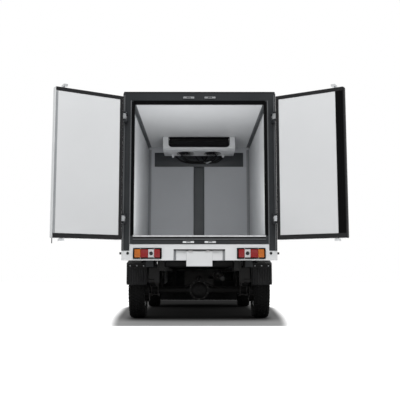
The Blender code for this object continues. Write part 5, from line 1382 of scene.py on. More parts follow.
def buildAxle():
    axleY, axleUp = rearY + under["axleY"], under["axleUp"]
    flange = addBar("flange", (0, axleY - 0.048, axleUp), (0, axleY - 0.062, axleUp), 0.110, 40)
    editFaces(flange, facing["-Y"])
    bpy.ops.mesh.inset(thickness=0.022, depth=0)
    bpy.ops.mesh.extrude_region_move(TRANSFORM_OT_translate={"value": (0, -0.018, 0)})
    bpy.ops.transform.resize(value=(0.88, 1, 0.88), center_override=(0, axleY - 0.08, axleUp))
    bpy.ops.mesh.extrude_region_move(TRANSFORM_OT_translate={"value": (0, -0.014, 0)})
    bpy.ops.transform.resize(value=(0.62, 1, 0.62), center_override=(0, axleY - 0.09, axleUp))
    endEdit(flange)
    put(soften(flange, 0.0025, 2, 25), "chassisBlack")
    bolts = []
    for step in range(10):
        angle = 2 * math.pi * (step + 0.5) / 10
        bolts.append(addBolt("bolt", (0.0985 * math.cos(angle), axleY - 0.0618,
                                      axleUp + 0.0985 * math.sin(angle)), 0.0062, 0.007))
    put(joinAll("axleCoverBolts", bolts), "castIron")
    plug = addBolt("axlePlug", (0, axleY - 0.093, axleUp - 0.016), 0.010, 0.008)
    put(plug, "castIron")
    pipes = []
    for side in (-1, 1):
        points = [(side * x, axleY - back, axleUp + up) for x, back, up in (
            (0.03, 0.030, 0.100), (0.10, 0.03, 0.07), (0.16, 0.034, 0.040), (0.30, 0.034, 0.038),
            (0.46, 0.034, 0.038), (0.555, 0.034, 0.030))]
        pipes.append(addPipe("pipe", points, 0.0045, 8))
        for x in (0.22, 0.38):
            band = addBar("band", (side * x - 0.006, axleY, axleUp),
                          (side * x + 0.006, axleY, axleUp), 0.0385, 28)
            pipes.append(soften(band, 0.001, 1))
        ends = (0.105, 0.150, 0.058, 0.040) if side > 0 else (-0.150, -0.105, 0.040, 0.058)
        rib = addBar("rib", (ends[0], axleY, axleUp), (ends[1], axleY, axleUp), ends[2], 28,
                     ends[3])
        pipes.append(soften(rib, 0.002))
    put(joinAll("brakePipes", pipes), "chassisBlack")
    sleeves = []
    lower = Vector((0.446, axleY + 0.036, axleUp + 0.018))
    upper = Vector((0.446, axleY + 0.200, 0.585))
    run = upper - lower
    for low, high, radius in ((0.00, 0.10, 0.026), (0.45, 0.90, 0.0275), (0.44, 0.47, 0.030),
                              (0.90, 0.96, 0.022)):
        sleeves.append(soften(addBar("sleeve", lower + run * low, lower + run * high, radius, 24),
                              0.002, 2))
    onBothSides(joinAll("damperSleevesRight", sleeves), "chassisBlack")
    drums = []
    for x in (0.5605, 0.6385):
        drums.append(addRing("hoop", (x, axleY, axleUp), 0.1255, 0.0030, "X", 48, 8))
    for step in range(16):
        angle = 2 * math.pi * step / 16
        fin = addPlate("fin", (0.566, 0.634), (under["axleY"] - 0.002, under["axleY"] + 0.002),
                       (axleUp + 0.122, axleUp + 0.1295), 0.0008, 1)
        drums.append(turnPiece(fin, angle, (0, axleY, axleUp), "X"))
    onBothSides(joinAll("drumFinsRight", drums), "castIron")


def addChannel(name, along, up, half, wall=0.005):  # folded channel across the rails
    beam = addPlate(name, (-half, half), along, up, 0)
    pushFaces(beam, facing["-Y"], inset=wall, depth=-(along[1] - along[0] - wall))
    return soften(beam, 0.0012, 1)


def buildFrameParts():
    beams = []
    for low in (0.130, 1.230, 2.080):
        beams.append(addChannel("member", (low, low + 0.045), (0.556, 0.624), 0.3595))
    beams.append(addChannel("member", (3.90, 3.945), (0.550, 0.624), 0.3595))
    put(joinAll("crossMembers", beams), "chassisBlack")
    rivets = []
    for low in (0.130, 1.230, 2.080, 3.90):
        for z in (0.570, 0.610):
            rivets.append(addBolt("bolt", (0.4205, rearY + low + 0.022, z), 0.007, -0.006, "X"))
    onBothSides(joinAll("railBoltsRight", rivets), "castIron")
    # clips that hold the box's runners to the rails
    clips = []
    for y in (0.42, 1.06, 1.78, 2.36):
        clip = addPlate("clip", (0.4205, 0.4265), (y - 0.022, y + 0.022), (0.560, 0.690), 0)
        roundAlong(clip, "X", 0.008, 3)
        clips.append(soften(clip, 0.001, 1))
        for z in (0.585, 0.665):
            clips.append(addBolt("bolt", (0.4262, rearY + y, z), 0.007, -0.007, "X"))
    onBothSides(joinAll("runnerClipsRight", clips), "castIron")
    # wiring loom along the left rail
    loom = [(-0.352, rearY + 0.18, 0.61), (-0.350, rearY + 0.8, 0.604),
            (-0.351, rearY + 1.5, 0.612), (-0.350, rearY + 2.3, 0.606),
            (-0.351, rearY + 3.2, 0.612)]
    put(addPipe("wiringLoom", loom, 0.008, 10), "sealRubber")
    # dark hangers that show under the bumper, beside the flaps
    hanger = addCorner("rearHangerRight", [(0.480, 0.560), (0.560, 0.560), (0.552, 0.690),
                                           (0.488, 0.690)], (rearY + 0.168, rearY + 0.173), "Y")
    pushFaces(hanger, facing["-Y"], inset=0.008, depth=-0.0012)
    hangers = [soften(hanger, 0.001, 1)]
    for x, z in ((0.500, 0.585), (0.540, 0.585), (0.520, 0.660)):
        hangers.append(addBolt("bolt", (x, rearY + 0.168, z), 0.007, 0.006))
    onBothSides(joinAll("rearHangerRight", hangers), "framePaint")


def buildTank():
    straps = []
    for y in (1.60, 1.96):
        strap = addPlate("strap", (-0.7425, -0.4182), (y - 0.016, y + 0.016), (0.3578, 0.6022), 0)
        roundAlong(strap, "Y", 0.036, 5)
        core = addPlate("core", (-0.7402, -0.4201), (y - 0.03, y + 0.03), (0.3599, 0.6001), 0)
        roundAlong(core, "Y", 0.035, 5)
        straps.append(soften(cutAway(strap, core), 0.0006, 1, 50))
    put(joinAll("tankStraps", straps), "castIron")
    seam = addPlate("tankSeam", (-0.7435, -0.417), (1.452, 2.148), (0.476, 0.484), 0)
    roundAlong(seam, "Z", 0.036, 5)
    put(soften(seam, 0.0015, 2, 60), "darkPlastic")
    neck = [(-0.70, rearY + 1.80, 0.590), (-0.735, rearY + 1.80, 0.615),
            (-0.752, rearY + 1.80, 0.650), (-0.758, rearY + 1.80, 0.672)]
    filler = [addPipe("neck", neck, 0.021, 16),
              addBar("cap", (-0.7565, rearY + 1.80, 0.668), (-0.7605, rearY + 1.80, 0.696), 0.031,
                     24)]
    for step in range(8):
        angle = 2 * math.pi * step / 8
        across, along = 0.030 * math.cos(angle), rearY + 1.80 + 0.030 * math.sin(angle)
        filler.append(addBar("grip", (-0.757 + across, along, 0.672),
                             (-0.760 + across, along, 0.694), 0.0035, 8))
    put(joinAll("tankFiller", [soften(part, 0.0008, 1, 50) for part in filler]), "darkPlastic")


def buildExhaustBands():
    bands = []
    for y in (1.53, 1.80, 2.07):
        bands.append(soften(addBar("band", (0.24, rearY + y - 0.008, 0.47),
                                   (0.24, rearY + y + 0.008, 0.47), 0.0625, 32), 0.001, 2))
    flange = addPlate("flange", (0.205, 0.275), (1.24, 1.252), (0.470, 0.530), 0)
    roundAlong(flange, "Y", 0.014, 4)
    bands.append(soften(flange, 0.001, 1))
    put(joinAll("exhaustBands", bands), "exhaustSteel")
    # tail end: an open rolled lip over the end of the pipe, dark inside
    tip = addBar("tailLip", (0.24, rearY + 0.1175, 0.4400), (0.24, rearY + 0.150, 0.4405), 0.0235,
                 28)
    pushFaces(tip, facing["-Y"], inset=0.0030)
    put(soften(tip, 0.0008, 1, 50), "chassisBlack")
    bore = addBar("tailBore", (0.24, rearY + 0.1172, 0.4400), (0.24, rearY + 0.1260, 0.4400),
                  0.0200, 28)
    pushFaces(bore, facing["-Y"], inset=0.004, depth=-0.006)
    put(bore, "sealRubber")


def buildApron():  # rubber splash apron below the nose, with a hem and stiffening beads; its low edge, 7 cm off the floor, makes it a dark sheet standing in for the shade under the truck
    look = under["apron"]
    half = look["half"]
    low, high = look["up"]
    sheet = addPlate("splashApronShadeSheet", (-half, half), look["along"], (low, high), 0)
    roundAlong(sheet, "Y", 0.012, 4, lambda spot: spot.z < low + 0.05)
    pushFaces(sheet, lambda spot, normal: abs(normal.y) > 0.9, inset=0.010, depth=-0.0008)
    parts = [sheet]
    for step in range(7):
        x = -half + 0.06 + (2 * half - 0.12) * step / 6
        parts.append(addPlate("bead", (x - 0.008, x + 0.008),
                              (look["along"][0] - 0.004, look["along"][1] + 0.004),
                              (low + 0.020, high - 0.008), 0.0025))
    put(joinAll("splashApronShadeSheet", parts), "flapRubber")


buildFlaps()
buildSprings()
buildAxle()
buildFrameParts()
buildTank()
buildExhaustBands()
buildApron()


# ---- wheels: one tyre and one rim are made and copied to the four corners
print("wheels")
wheel = {
    "track": 0.685,
    "up": 0.308,
    "rearY": 0.75,
    "frontY": 3.45,
    "carcass": [(0.0655, 0.1812), (0.0735, 0.1850), (0.0790, 0.1960), (0.0840, 0.2060),
                (0.0850, 0.2120), (0.0838, 0.2160), (0.0868, 0.2300), (0.0882, 0.2460),
                (0.0878, 0.2600), (0.0860, 0.2640), (0.0862, 0.2700), (0.0830, 0.2830),
                (0.0760, 0.2930), (0.0660, 0.2975), (0.0400, 0.2990), (0.0150, 0.2995)],
    "treadTop": 0.3072,
    "treadPitch": 56,
    "treadRows": ((-0.0800, -0.0520, 0.000), (-0.0465, -0.0200, 0.5), (-0.0145, 0.0145, 0.0),
                  (0.0200, 0.0465, 0.5), (0.0520, 0.0800, 0.000)),
    "barrel": [(-0.0735, 0.1795), (-0.0690, 0.1795), (-0.0650, 0.1705), (-0.0330, 0.1680),
               (-0.0230, 0.1500), (0.0230, 0.1500), (0.0330, 0.1680), (0.0650, 0.1705),
               (0.0690, 0.1795), (0.0735, 0.1795), (0.0735, 0.1745), (0.0680, 0.1655),
               (0.0350, 0.1630), (0.0260, 0.1450), (-0.0260, 0.1450), (-0.0350, 0.1630),
               (-0.0680, 0.1655), (-0.0735, 0.1745)],
    "dish": [(0.0140, 0.1480), (0.0210, 0.1450), (0.0360, 0.1330), (0.0400, 0.1200),
             (0.0360, 0.0980), (0.0240, 0.0820), (0.0230, 0.0400), (0.0230, 0.0010),
             (0.0160, 0.0010), (0.0160, 0.0400), (0.0170, 0.0850), (0.0300, 0.1010),
             (0.0335, 0.1190), (0.0300, 0.1290), (0.0150, 0.1400)],
    "ventCount": 8,
    "ventRadius": 0.0155,
    "nutCount": 5,
    "nutCircle": 0.060,
}


def spinProfile(name, points, steps=64, closed=True):  # section turned about the X axis
    deselectAll()
    mesh = bpy.data.meshes.new(name)
    corners = [(x, 0, radius) for x, radius in points]
    edges = [(index, index + 1) for index in range(len(points) - 1)]
    if closed:
        edges.append((len(points) - 1, 0))
    mesh.from_pydata(corners, edges, [])
    piece = addObject(name, mesh)
    editAll(piece)
    bpy.ops.mesh.spin(steps=steps, angle=2 * math.pi, center=(0, 0, 0), axis=(1, 0, 0))
    bpy.ops.mesh.select_all(action="SELECT")
    bpy.ops.mesh.remove_doubles(threshold=0.00005)
    bpy.ops.mesh.normals_make_consistent(inside=False)
    return endEdit(piece)


def buildTyre():
    half = wheel["carcass"]
    section = half + [(-x, radius) for x, radius in reversed(half)]
    tyre = spinProfile("tyreBody", section, 72)
    pitch = 2 * math.pi / wheel["treadPitch"]
    top = wheel["treadTop"]
    blocks = []
    for left, right, shift in wheel["treadRows"]:
        long = pitch * top * 0.76
        outer = abs(left + right) > 0.10
        block = addBlock("block", (left, -long / 2, top - 0.0115), (right, long / 2, top))
        editFaces(block, facing["+Z"])
        bpy.ops.transform.resize(value=(0.92, 0.86, 1),
                                 center_override=((left + right) / 2, 0, top))
        if not outer:  # zigzag blocks lean across the tread
            bpy.ops.mesh.select_all(action="SELECT")
            bpy.ops.transform.rotate(value=math.radians(12 if shift else -14), orient_axis="Z",
                                     center_override=((left + right) / 2, 0, top))
        endEdit(block)
        soften(block, 0.0010, 1)
        if outer:  # shoulder blocks fold down over the edge
            editFaces(block, lambda spot, normal: abs(spot.x) > 0.072)
            bpy.ops.transform.translate(value=(0, 0, -0.0075))
            endEdit(block)
        blocks.append(turnPiece(block, pitch * shift, (0, 0, 0), "X"))
    tread = joinAll("tread", blocks)
    editAll(tread)
    bpy.ops.mesh.spin(steps=wheel["treadPitch"], angle=2 * math.pi, center=(0, 0, 0),
                      axis=(1, 0, 0), dupli=True)
    endEdit(tread)
    bars = []
    for step in range(44):  # fine bars round the shoulder
        bar = addBlock("bar", (0.0800, -0.0028, 0.2760), (0.0868, 0.0028, 0.2895))
        soften(bar, 0.0007, 1)
        turnPiece(bar, math.radians(20), (0.0835, 0, 0.2825), "Y")
        bars.append(turnPiece(bar, 2 * math.pi * step / 44, (0, 0, 0), "X"))
    shoulder = joinAll("shoulder", bars)
    other = mirrorPiece(shoulder, "shoulderInner")
    return joinAll("tyreShape", [tyre, tread, shoulder, other])


def buildRim():
    barrel = spinProfile("barrel", wheel["barrel"], 56)
    dish = spinProfile("dish", wheel["dish"], 56)
    cutters = []
    for step in range(wheel["ventCount"]):
        angle = 2 * math.pi * step / wheel["ventCount"]
        y, z = 0.108 * math.cos(angle), 0.108 * math.sin(angle)
        cutters.append(addBar("vent", (-0.02, y, z), (0.07, y, z), wheel["ventRadius"], 16))
    cutAway(dish, joinAll("vents", cutters))
    soften(dish, 0.0009, 2, 40)
    parts = [barrel, dish]
    cap = addBar("cap", (0.022, 0, 0), (0.036, 0, 0), 0.034, 32, 0.030)
    editFaces(cap, facing["+X"])
    bpy.ops.mesh.inset(thickness=0.008, depth=0.003)
    bpy.ops.mesh.inset(thickness=0.010, depth=0.002)
    parts.append(soften(endEdit(cap), 0.0015, 2))
    for step in range(wheel["nutCount"]):
        angle = 2 * math.pi * (step + 0.25) / wheel["nutCount"]
        y, z = wheel["nutCircle"] * math.cos(angle), wheel["nutCircle"] * math.sin(angle)
        cone = addBar("seat", (0.022, y, z), (0.026, y, z), 0.0135, 20, 0.011)
        nut = addBar("nut", (0.026, y, z), (0.037, y, z), 0.0100, 6)
        stud = addBar("stud", (0.036, y, z), (0.041, y, z), 0.0052, 12)
        parts += [cone, soften(nut, 0.0010), soften(stud, 0.0008, 1)]
    valve = addBar("valve", (0.030, 0, 0.1500), (0.052, 0, 0.1560), 0.0042, 12, 0.0032)
    parts.append(soften(valve, 0.0008, 1))
    weight = addBlock("weight", (0.066, -0.018, 0.1560), (0.0715, 0.018, 0.1640))
    parts.append(turnPiece(soften(weight, 0.0018), math.radians(140), (0, 0, 0), "X"))
    return joinAll("rimShape", parts)


def placeWheels():
    tyre, rim = buildTyre(), buildRim()
    for end, y in (("front", wheel["frontY"]), ("rear", wheel["rearY"])):
        for tag, side in (("right", 1), ("left", -1)):
            for kind, master, finish in (("tyre", tyre, "tyreBlack"), ("rim", rim, "wheelSilver")):
                place = (side * wheel["track"], rearY + y, wheel["up"])
                name = "%s_%s_%s" % (kind, end, tag)
                twin = copyPiece(master, kind + end.title() + tag.title())
                if side < 0:
                    turnPiece(twin, math.pi, (0, 0, 0))
                twin.location = place
                settle(twin)
                put(twin, finish, "wheel_%s_%s" % (end, tag), smooth=32)
                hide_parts(name)
    bpy.data.objects.remove(tyre, do_unlink=True)
    bpy.data.objects.remove(rim, do_unlink=True)


placeWheels()


# ---- cab outside: smooth skins, window rubbers, wipers, grille, lamps, handles, mirrors
print("cab outside")
cab = {
    "half": 0.78,
    "screen": [(-0.66, 1.17), (0.66, 1.17), (0.575, 1.74), (-0.575, 1.74)],
    "screenRound": 0.06,
    "window": [(3.055, 1.160), (3.770, 1.160), (3.500, 1.710), (3.055, 1.710)],
    "windowRound": 0.05,
    "headlamp": {"across": (0.430, 0.700), "up": (0.640, 0.820)},
    "grille": {"half": 0.395, "rows": (0.668, 0.698, 0.728, 0.758, 0.788)},
}


def makeRays(*names):  # finds the skin of the named CAD nodes along a line
    trees = []
    for name in names:
        shape = bmesh.new()
        shape.from_mesh(nodes[name].data)
        shape.transform(nodes[name].matrix_world)
        trees.append(BVHTree.FromBMesh(shape))
        shape.free()

    def skin(start, way):
        hits = [tree.ray_cast(Vector(start), Vector(way))[0] for tree in trees]
        hits = [hit for hit in hits if hit is not None]
        return min(hits, key=lambda hit: (hit - Vector(start)).length) if hits else None

    return skin


noseSkin = makeRays("cab_shell", "windscreen", "headlamp_left", "headlamp_right")
bumperSkin = makeRays("front_bumper")
sideSkin = makeRays("cab_door_right", "door_glass_right", "cab_shell")
screenSkin = makeRays("windscreen")


def onNose(x, z, lift=0.0, skin=noseSkin):
    hit = skin((x, 6, z), (0, -1, 0))
    return Vector((x, (hit.y if hit else rearY + 4.0) + lift, z))


def onSide(y, z, lift=0.0):
    hit = sideSkin((3, rearY + y, z), (-1, 0, 0))
    return Vector(((hit.x if hit else 0.76) + lift, rearY + y, z))


def roundedPath(corners, radius, steps=5, between=8):  # outline with round corners, evenly filled
    path = []
    count = len(corners)
    for index in range(count):
        before, here, after = (Vector(corners[(index + way) % count]) for way in (-1, 0, 1))
        toBefore, toAfter = (before - here).normalized(), (after - here).normalized()
        start, end = here + toBefore * radius, here + toAfter * radius
        for step in range(steps + 1):
            share = step / steps
            path.append(start.lerp(here, share).lerp(here.lerp(end, share), share))
        nextStart = after + (here - after).normalized() * radius
        for step in range(1, between):
            path.append(end.lerp(nextStart, step / between))
    return path


def boxPath(across, up, radius, steps=5, between=8):  # the same for an upright box
    return roundedPath([(across[0], up[0]), (across[1], up[0]), (across[1], up[1]),
                        (across[0], up[1])], radius, steps, between)


def lineInside(skin):  # what faces the cabin is trimmed in grey
    editAll(skin)
    bpy.ops.mesh.bisect(plane_co=(0, 0, 0.70), plane_no=(0, 0, 1))
    endEdit(skin)
    for finish in ("cabinPlastic", "chassisBlack"):
        skin.data.materials.append(finishes[finish])
    heart = Vector((0, rearY + 3.40, 1.22))
    for face in skin.data.polygons:
        if (heart - face.center).dot(face.normal) > 0 and face.center.z > 0.64:
            face.material_index = 1
        elif face.center.z < 0.70 and face.center.y < rearY + 2.79:  # painted shade: the low rear wall, under the box, is painted black
            face.material_index = 2


def buildCabSkins():
    for name, finish, bevel in (("cab_shell", "bodyPaint", 0.004),
                                ("front_bumper", "darkPlastic", 0.006),
                                ("condenser_unit", "panelWhite", 0.004)):
        skin = dress(name, finish, bevel=bevel, steps=2, angle=38, smooth=40)
        if name == "cab_shell":
            lineInside(skin)
    for side in ("left", "right"):
        body = "cab_door_%s_body" % side
        lineInside(dress("cab_door_" + side, "bodyPaint", body, bevel=0.003, steps=2, angle=38,
                         smooth=40))
        dress("mirror_" + side, "darkPlastic", body, bevel=0.008, steps=3, angle=30, smooth=40)


def buildGlassRubbers():
    path = roundedPath(cab["screen"], cab["screenRound"])
    bead = addLoopPipe("screenRubber", [onNose(x, z, 0.001) for x, z in path], 0.0085)
    put(bead, "sealRubber")
    path = roundedPath(cab["window"], cab["windowRound"])
    bead = addLoopPipe("windowRubberRight", [onSide(y, z, 0.0005) for y, z in path], 0.0065)
    onBothSides(bead, "sealRubber", "cab_door_right_body")
    # upright that splits off the small front light of the window
    bar = [onSide(3.575 - 0.02 * step / 5, 1.165 + 0.385 * step / 5, -0.001) for step in range(6)]
    onBothSides(addPipe("windowBarRight", bar, 0.0080, 8), "sealRubber", "cab_door_right_body")
    strip = [onSide(3.06 + 0.70 * step / 10, 1.152, 0.003) for step in range(11)]
    onBothSides(addPipe("beltStripRight", strip, 0.0055, 8), "sealRubber", "cab_door_right_body")


def buildWipers():
    for index, (x, reach) in enumerate(((-0.34, 0.46), (0.12, 0.46))):
        foot = onNose(x, 1.150, 0.010)
        hub = [addBar("hub", foot + Vector((0, -0.020, -0.006)), foot + Vector((0, 0.010, 0.004)),
                      0.015, 20, 0.012)]
        tip = onNose(x + reach * 0.62, 1.275, 0.018, screenSkin)
        middle = onNose(x + reach * 0.30, 1.205, 0.022, screenSkin)
        hub.append(addPipe("arm", [foot + Vector((0, 0.006, 0)), middle, tip], 0.0055, 8))
        blade = [onNose(x + reach * (0.18 + 0.92 * step / 10), 1.200 + 0.13 * step / 10, 0.0075,
                        screenSkin) for step in range(11)]
        hub.append(addPipe("blade", blade, 0.0045, 8))
        back = [onNose(x + reach * (0.36 + 0.54 * step / 6), 1.2256 + 0.0764 * step / 6,
                       0.013 + 0.004 * math.sin(math.pi * step / 6), screenSkin)
                for step in range(7)]
        hub.append(addPipe("back", back, 0.0035, 8))
        put(joinAll("wiper%d" % index, hub), "darkPlastic")


# flat bar along the nose
def stripOnNose(name, half, z, tall, lift, thick, skin=noseSkin, count=24):
    deselectAll()
    shape = bmesh.new()
    rows = []
    for step in range(count + 1):
        x = -half + 2 * half * step / count
        row = []
        for height, depth in ((z - tall / 2, 0), (z + tall / 2, 0), (z + tall / 2, 1),
                              (z - tall / 2, 1)):
            point = onNose(x, height, lift - depth * thick, skin)
            row.append(shape.verts.new(point))
        rows.append(row)
    for first, second in zip(rows, rows[1:]):
        joinRings(shape, first, second)
    shape.faces.new(rows[0])
    shape.faces.new(rows[-1])
    return meshPiece(name, shape)


def buildNose():
    look = cab["grille"]
    backing = stripOnNose("grilleBack", look["half"] + 0.012, 0.728, 0.160, 0.0025, 0.004)
    put(soften(backing, 0.0012, 1), "sealRubber")
    slats = [soften(stripOnNose("slat", look["half"], z, 0.013, 0.0075, 0.006), 0.0018, 2)
             for z in look["rows"]]
    put(joinAll("grilleSlats", slats), "cabinPlastic")
    rim = [onNose(x, z, 0.004) for x, z in boxPath((-0.410, 0.410), (0.646, 0.810), 0.025)]
    put(addLoopPipe("grilleRim", rim, 0.0075), "wheelSilver")
    crease = stripOnNose("noseCrease", 0.66, 0.905, 0.012, 0.0018, 0.003, count=36)
    put(soften(crease, 0.0012), "bodyPaint")
    vent = [soften(stripOnNose("cowl", 0.56, 1.100 + 0.016 * step, 0.006, 0.0022, 0.003), 0.0008, 1)
            for step in range(3)]
    put(joinAll("cowlVent", vent), "darkPlastic")
    low = [soften(stripOnNose("bar", 0.46, z, 0.016, -0.0012, 0.006, bumperSkin), 0.0015, 2)
           for z in (0.368, 0.398, 0.428)]
    put(joinAll("bumperBars", low), "sealRubber")
    crown = onNose(0, 0.4975, 0, bumperSkin).y - rearY
    cutAway(bpy.data.objects["front_bumperShape"],
            addPlate("plateRecess", (-0.178, 0.178), (crown - 0.009, crown + 0.05), (0.443, 0.552),
                     0))
    board = addPlate("frontBoard", (-0.172, 0.172), (crown - 0.0095, crown - 0.004), (0.449, 0.546),
                     0)
    roundAlong(board, "Y", 0.006, 4)
    pushFaces(board, facing["+Y"], inset=0.004, depth=0.0010)
    put(soften(board, 0.0006, 1, 40), "bodyPaint")
    for side in (-1, 1):
        lamp = onNose(side * 0.58, 0.415, -0.004, bumperSkin)
        bowl = addBar("fogLamp", lamp + Vector((0, -0.020, 0)), lamp + Vector((0, 0.004, 0)), 0.040,
                      32, 0.037)
        pushFaces(bowl, facing["+Y"], inset=0.007, depth=-0.006)
        put(soften(bowl, 0.0015, 2, 35), "lensClear")


def buildHeadlamp():
    look = cab["headlamp"]
    x0, x1 = look["across"]
    z0, z1 = look["up"]
    path = boxPath((x0 + 0.003, x1 - 0.003), (z0 + 0.003, z1 - 0.003), 0.033)
    bead = addLoopPipe("headlampRimRight", [onNose(x, z, -0.0005) for x, z in path], 0.0042)
    onBothSides(bead, "sealRubber")
    parts = []
    for x, radius in ((0.492, 0.050), (0.600, 0.058)):
        front = onNose(x, 0.732, -0.020)
        bowl = addBar("bowl", front + Vector((0, -0.034, 0)), front, radius * 0.45, 32, radius)
        editFaces(bowl, facing["+Y"])
        bpy.ops.mesh.inset(thickness=0.003)
        bpy.ops.mesh.inset(thickness=radius * 0.45, depth=-0.022)
        parts.append(endEdit(bowl))
        parts.append(addBall("bulb", front + Vector((0, -0.016, 0)), 0.010, 16))
    onBothSides(joinAll("reflectorsRight", [soften(part, 0.0008, 1, 40) for part in parts]), "zinc")
    amber = onNose(0.672, 0.760, -0.022)
    turnLamp = addBlock("turnLampRight", amber + Vector((-0.012, -0.016, -0.036)),
                        amber + Vector((0.012, 0.006, 0.036)))
    onBothSides(soften(turnLamp, 0.005, 3), "lensAmber")


def buildSideTrim():
    parts = []
    spot = onSide(3.075, 1.085, 0.0)
    cup = addBlock("cup", spot + Vector((-0.004, -0.045, -0.024)),
                   spot + Vector((0.003, 0.075, 0.024)))
    roundAlong(cup, "X", 0.018, 5)
    pushFaces(cup, facing["+X"], inset=0.006, depth=-0.003)
    parts.append(soften(cup, 0.0012))
    lever = [onSide(3.040, 1.090, 0.005), onSide(3.060, 1.096, 0.017), onSide(3.115, 1.096, 0.017),
             onSide(3.135, 1.090, 0.005)]
    parts.append(addPipe("lever", lever, 0.0065, 10))
    onBothSides(joinAll("doorHandleRight", parts), "darkPlastic", "cab_door_right_body")
    lock = onSide(3.165, 1.085, 0.0)
    barrel = addBar("doorLockRight", lock + Vector((-0.003, 0, 0)), lock + Vector((0.0025, 0, 0)),
                    0.0085, 20)
    pushFaces(barrel, facing["+X"], inset=0.002, depth=-0.0008)
    onBothSides(barrel, "zinc", "cab_door_right_body")
    lamp = onSide(3.945, 0.905, 0.0)
    repeater = addBlock("repeaterRight", lamp + Vector((-0.006, -0.030, -0.014)),
                        lamp + Vector((0.006, 0.030, 0.014)))
    roundAlong(repeater, "X", 0.009, 4)
    onBothSides(soften(repeater, 0.003, 3), "lensAmber")
    strip = [onSide(3.02 + 0.82 * step / 12, 0.862, 0.001) for step in range(13)]
    onBothSides(addPipe("doorGuardRight", strip, 0.0085, 10), "darkPlastic", "cab_door_right_body")
    hinges = []
    for z in (0.86, 1.09):
        knuckle = onSide(3.884, z, -0.001)
        hinges.append(soften(addBar("knuckle", knuckle + Vector((0, 0, -0.022)),
                                    knuckle + Vector((0, 0, 0.022)), 0.0032, 16), 0.0008, 1))
    onBothSides(joinAll("cabHingesRight", hinges), "darkPlastic")
    glass = addPlate("mirrorGlassRight", (0.8665, 0.9835), (3.7535, 3.7565), (1.1765, 1.4035), 0)
    roundAlong(glass, "Y", 0.016, 4)
    onBothSides(soften(glass, 0.0010, 2, 40), "mirrorSilver", "cab_door_right_body")
    arches = []
    centre = (3.45, 0.308)
    for step in range(25):
        angle = math.radians(-8 + 196 * step / 24)
        y, z = centre[0] + 0.353 * math.cos(angle), centre[1] + 0.353 * math.sin(angle)
        if z > 0.385:
            arches.append(onSide(y, z, -0.004))
    onBothSides(addPipe("archLipRight", [Vector((min(point.x, 0.772), point.y, point.z))
                                         for point in arches], 0.0075, 8), "darkPlastic")


buildCabSkins()
buildGlassRubbers()
buildWipers()
buildNose()
buildHeadlamp()
buildSideTrim()


# ---- cabin: padded seats, dash details, levers, pedals, visors, door trim
print("cabin")
seatLook = {
    "across": (0.115, 0.605),
    "shrink": 0.014,  # the pads start smaller and swell back into their space
    "voxel": 0.009,
    "pressure": 4.0,
    "cap": 0.024,
    "cushion": [(2.832, 0.952), (3.328, 0.952), (3.328, 1.072), (3.010, 1.079), (2.832, 1.079)],
    "back": [(2.846, 1.085), (2.992, 1.085), (2.950, 1.618), (2.813, 1.618)],
}


def padShape(name, outline, rounding):  # solid pad from its side outline, drawn in a little
    low, high = seatLook["across"]
    pad = addCorner(name, [(rearY + y, z) for y, z in outline],
                    (low + seatLook["shrink"], high - seatLook["shrink"]), "X")
    middle = sum((corner.co for corner in pad.data.vertices), Vector()) / len(pad.data.vertices)
    for corner in pad.data.vertices:
        away = corner.co - middle
        corner.co.y -= math.copysign(seatLook["shrink"], away.y) * 0.8
        corner.co.z -= math.copysign(seatLook["shrink"], away.z) * 0.8
    return soften(pad, rounding, 4, 20)


def swell(pad):
    makeActive(pad)
    pad.data.remesh_voxel_size = seatLook["voxel"]
    bpy.ops.object.voxel_remesh()
    start = [corner.co.copy() for corner in pad.data.vertices]
    cloth = pad.modifiers.new("Cloth", "CLOTH")
    cloth.settings.use_pressure = True
    cloth.settings.uniform_pressure_force = seatLook["pressure"]
    cloth.settings.quality = 5
    cloth.settings.mass = 0.3
    cloth.settings.effector_weights.gravity = 0
    for step in range(1, 21):
        bpy.context.scene.frame_set(step)
    shape = pad.evaluated_get(bpy.context.evaluated_depsgraph_get()).to_mesh()
    moved = [corner.co.copy() for corner in shape.vertices]
    pad.modifiers.remove(cloth)
    bpy.context.scene.frame_set(1)
    for corner, before, after in zip(pad.data.vertices, start, moved):
        way = after - before
        corner.co = before + way * min(1, seatLook["cap"] / max(way.length, 1e-6))
    level = pad.modifiers.new("Smooth", "SUBSURF")
    level.levels = level.render_levels = 1
    makeActive(pad)
    bpy.ops.object.modifier_apply(modifier="Smooth")
    return pad


# lines: (axis, place, test of which side it is on)
def sewSeams(pad, lines, depth=0.006, wide=0.011):
    for corner in pad.data.vertices:
        spot = corner.co
        pull = 0
        for axis, place, holds in lines:
            if holds(spot, corner.normal):
                pull = max(pull, 1 - min(abs(spot[axis] - place) / wide, 1))
        if pull:
            corner.co = spot - corner.normal * depth * (3 * pull ** 2 - 2 * pull ** 3)
    pad.data.update()
    return pad


def addPiping(name, pad, height, share):  # welt round the pad, found on its own surface
    tree = BVHTree.FromPolygons([corner.co for corner in pad.data.vertices],
                                [face.vertices for face in pad.data.polygons])
    xs, ys = zip(*[(corner.co.x, corner.co.y) for corner in pad.data.vertices])
    middle = Vector(((min(xs) + max(xs)) / 2, (min(ys) + max(ys)) / 2, 0))
    points = []
    for step in range(72):
        angle = 2 * math.pi * step / 72
        way = Vector((math.cos(angle), math.sin(angle) * share, 0))
        for lift in (0, 0.01, -0.01):
            start = Vector((middle.x, middle.y, height + lift)) + way * 1.2
            hit = tree.ray_cast(start, -way)[0]
            if hit:
                points.append(hit)
                break
    return addLoopPipe(name, points, 0.0042, 8)


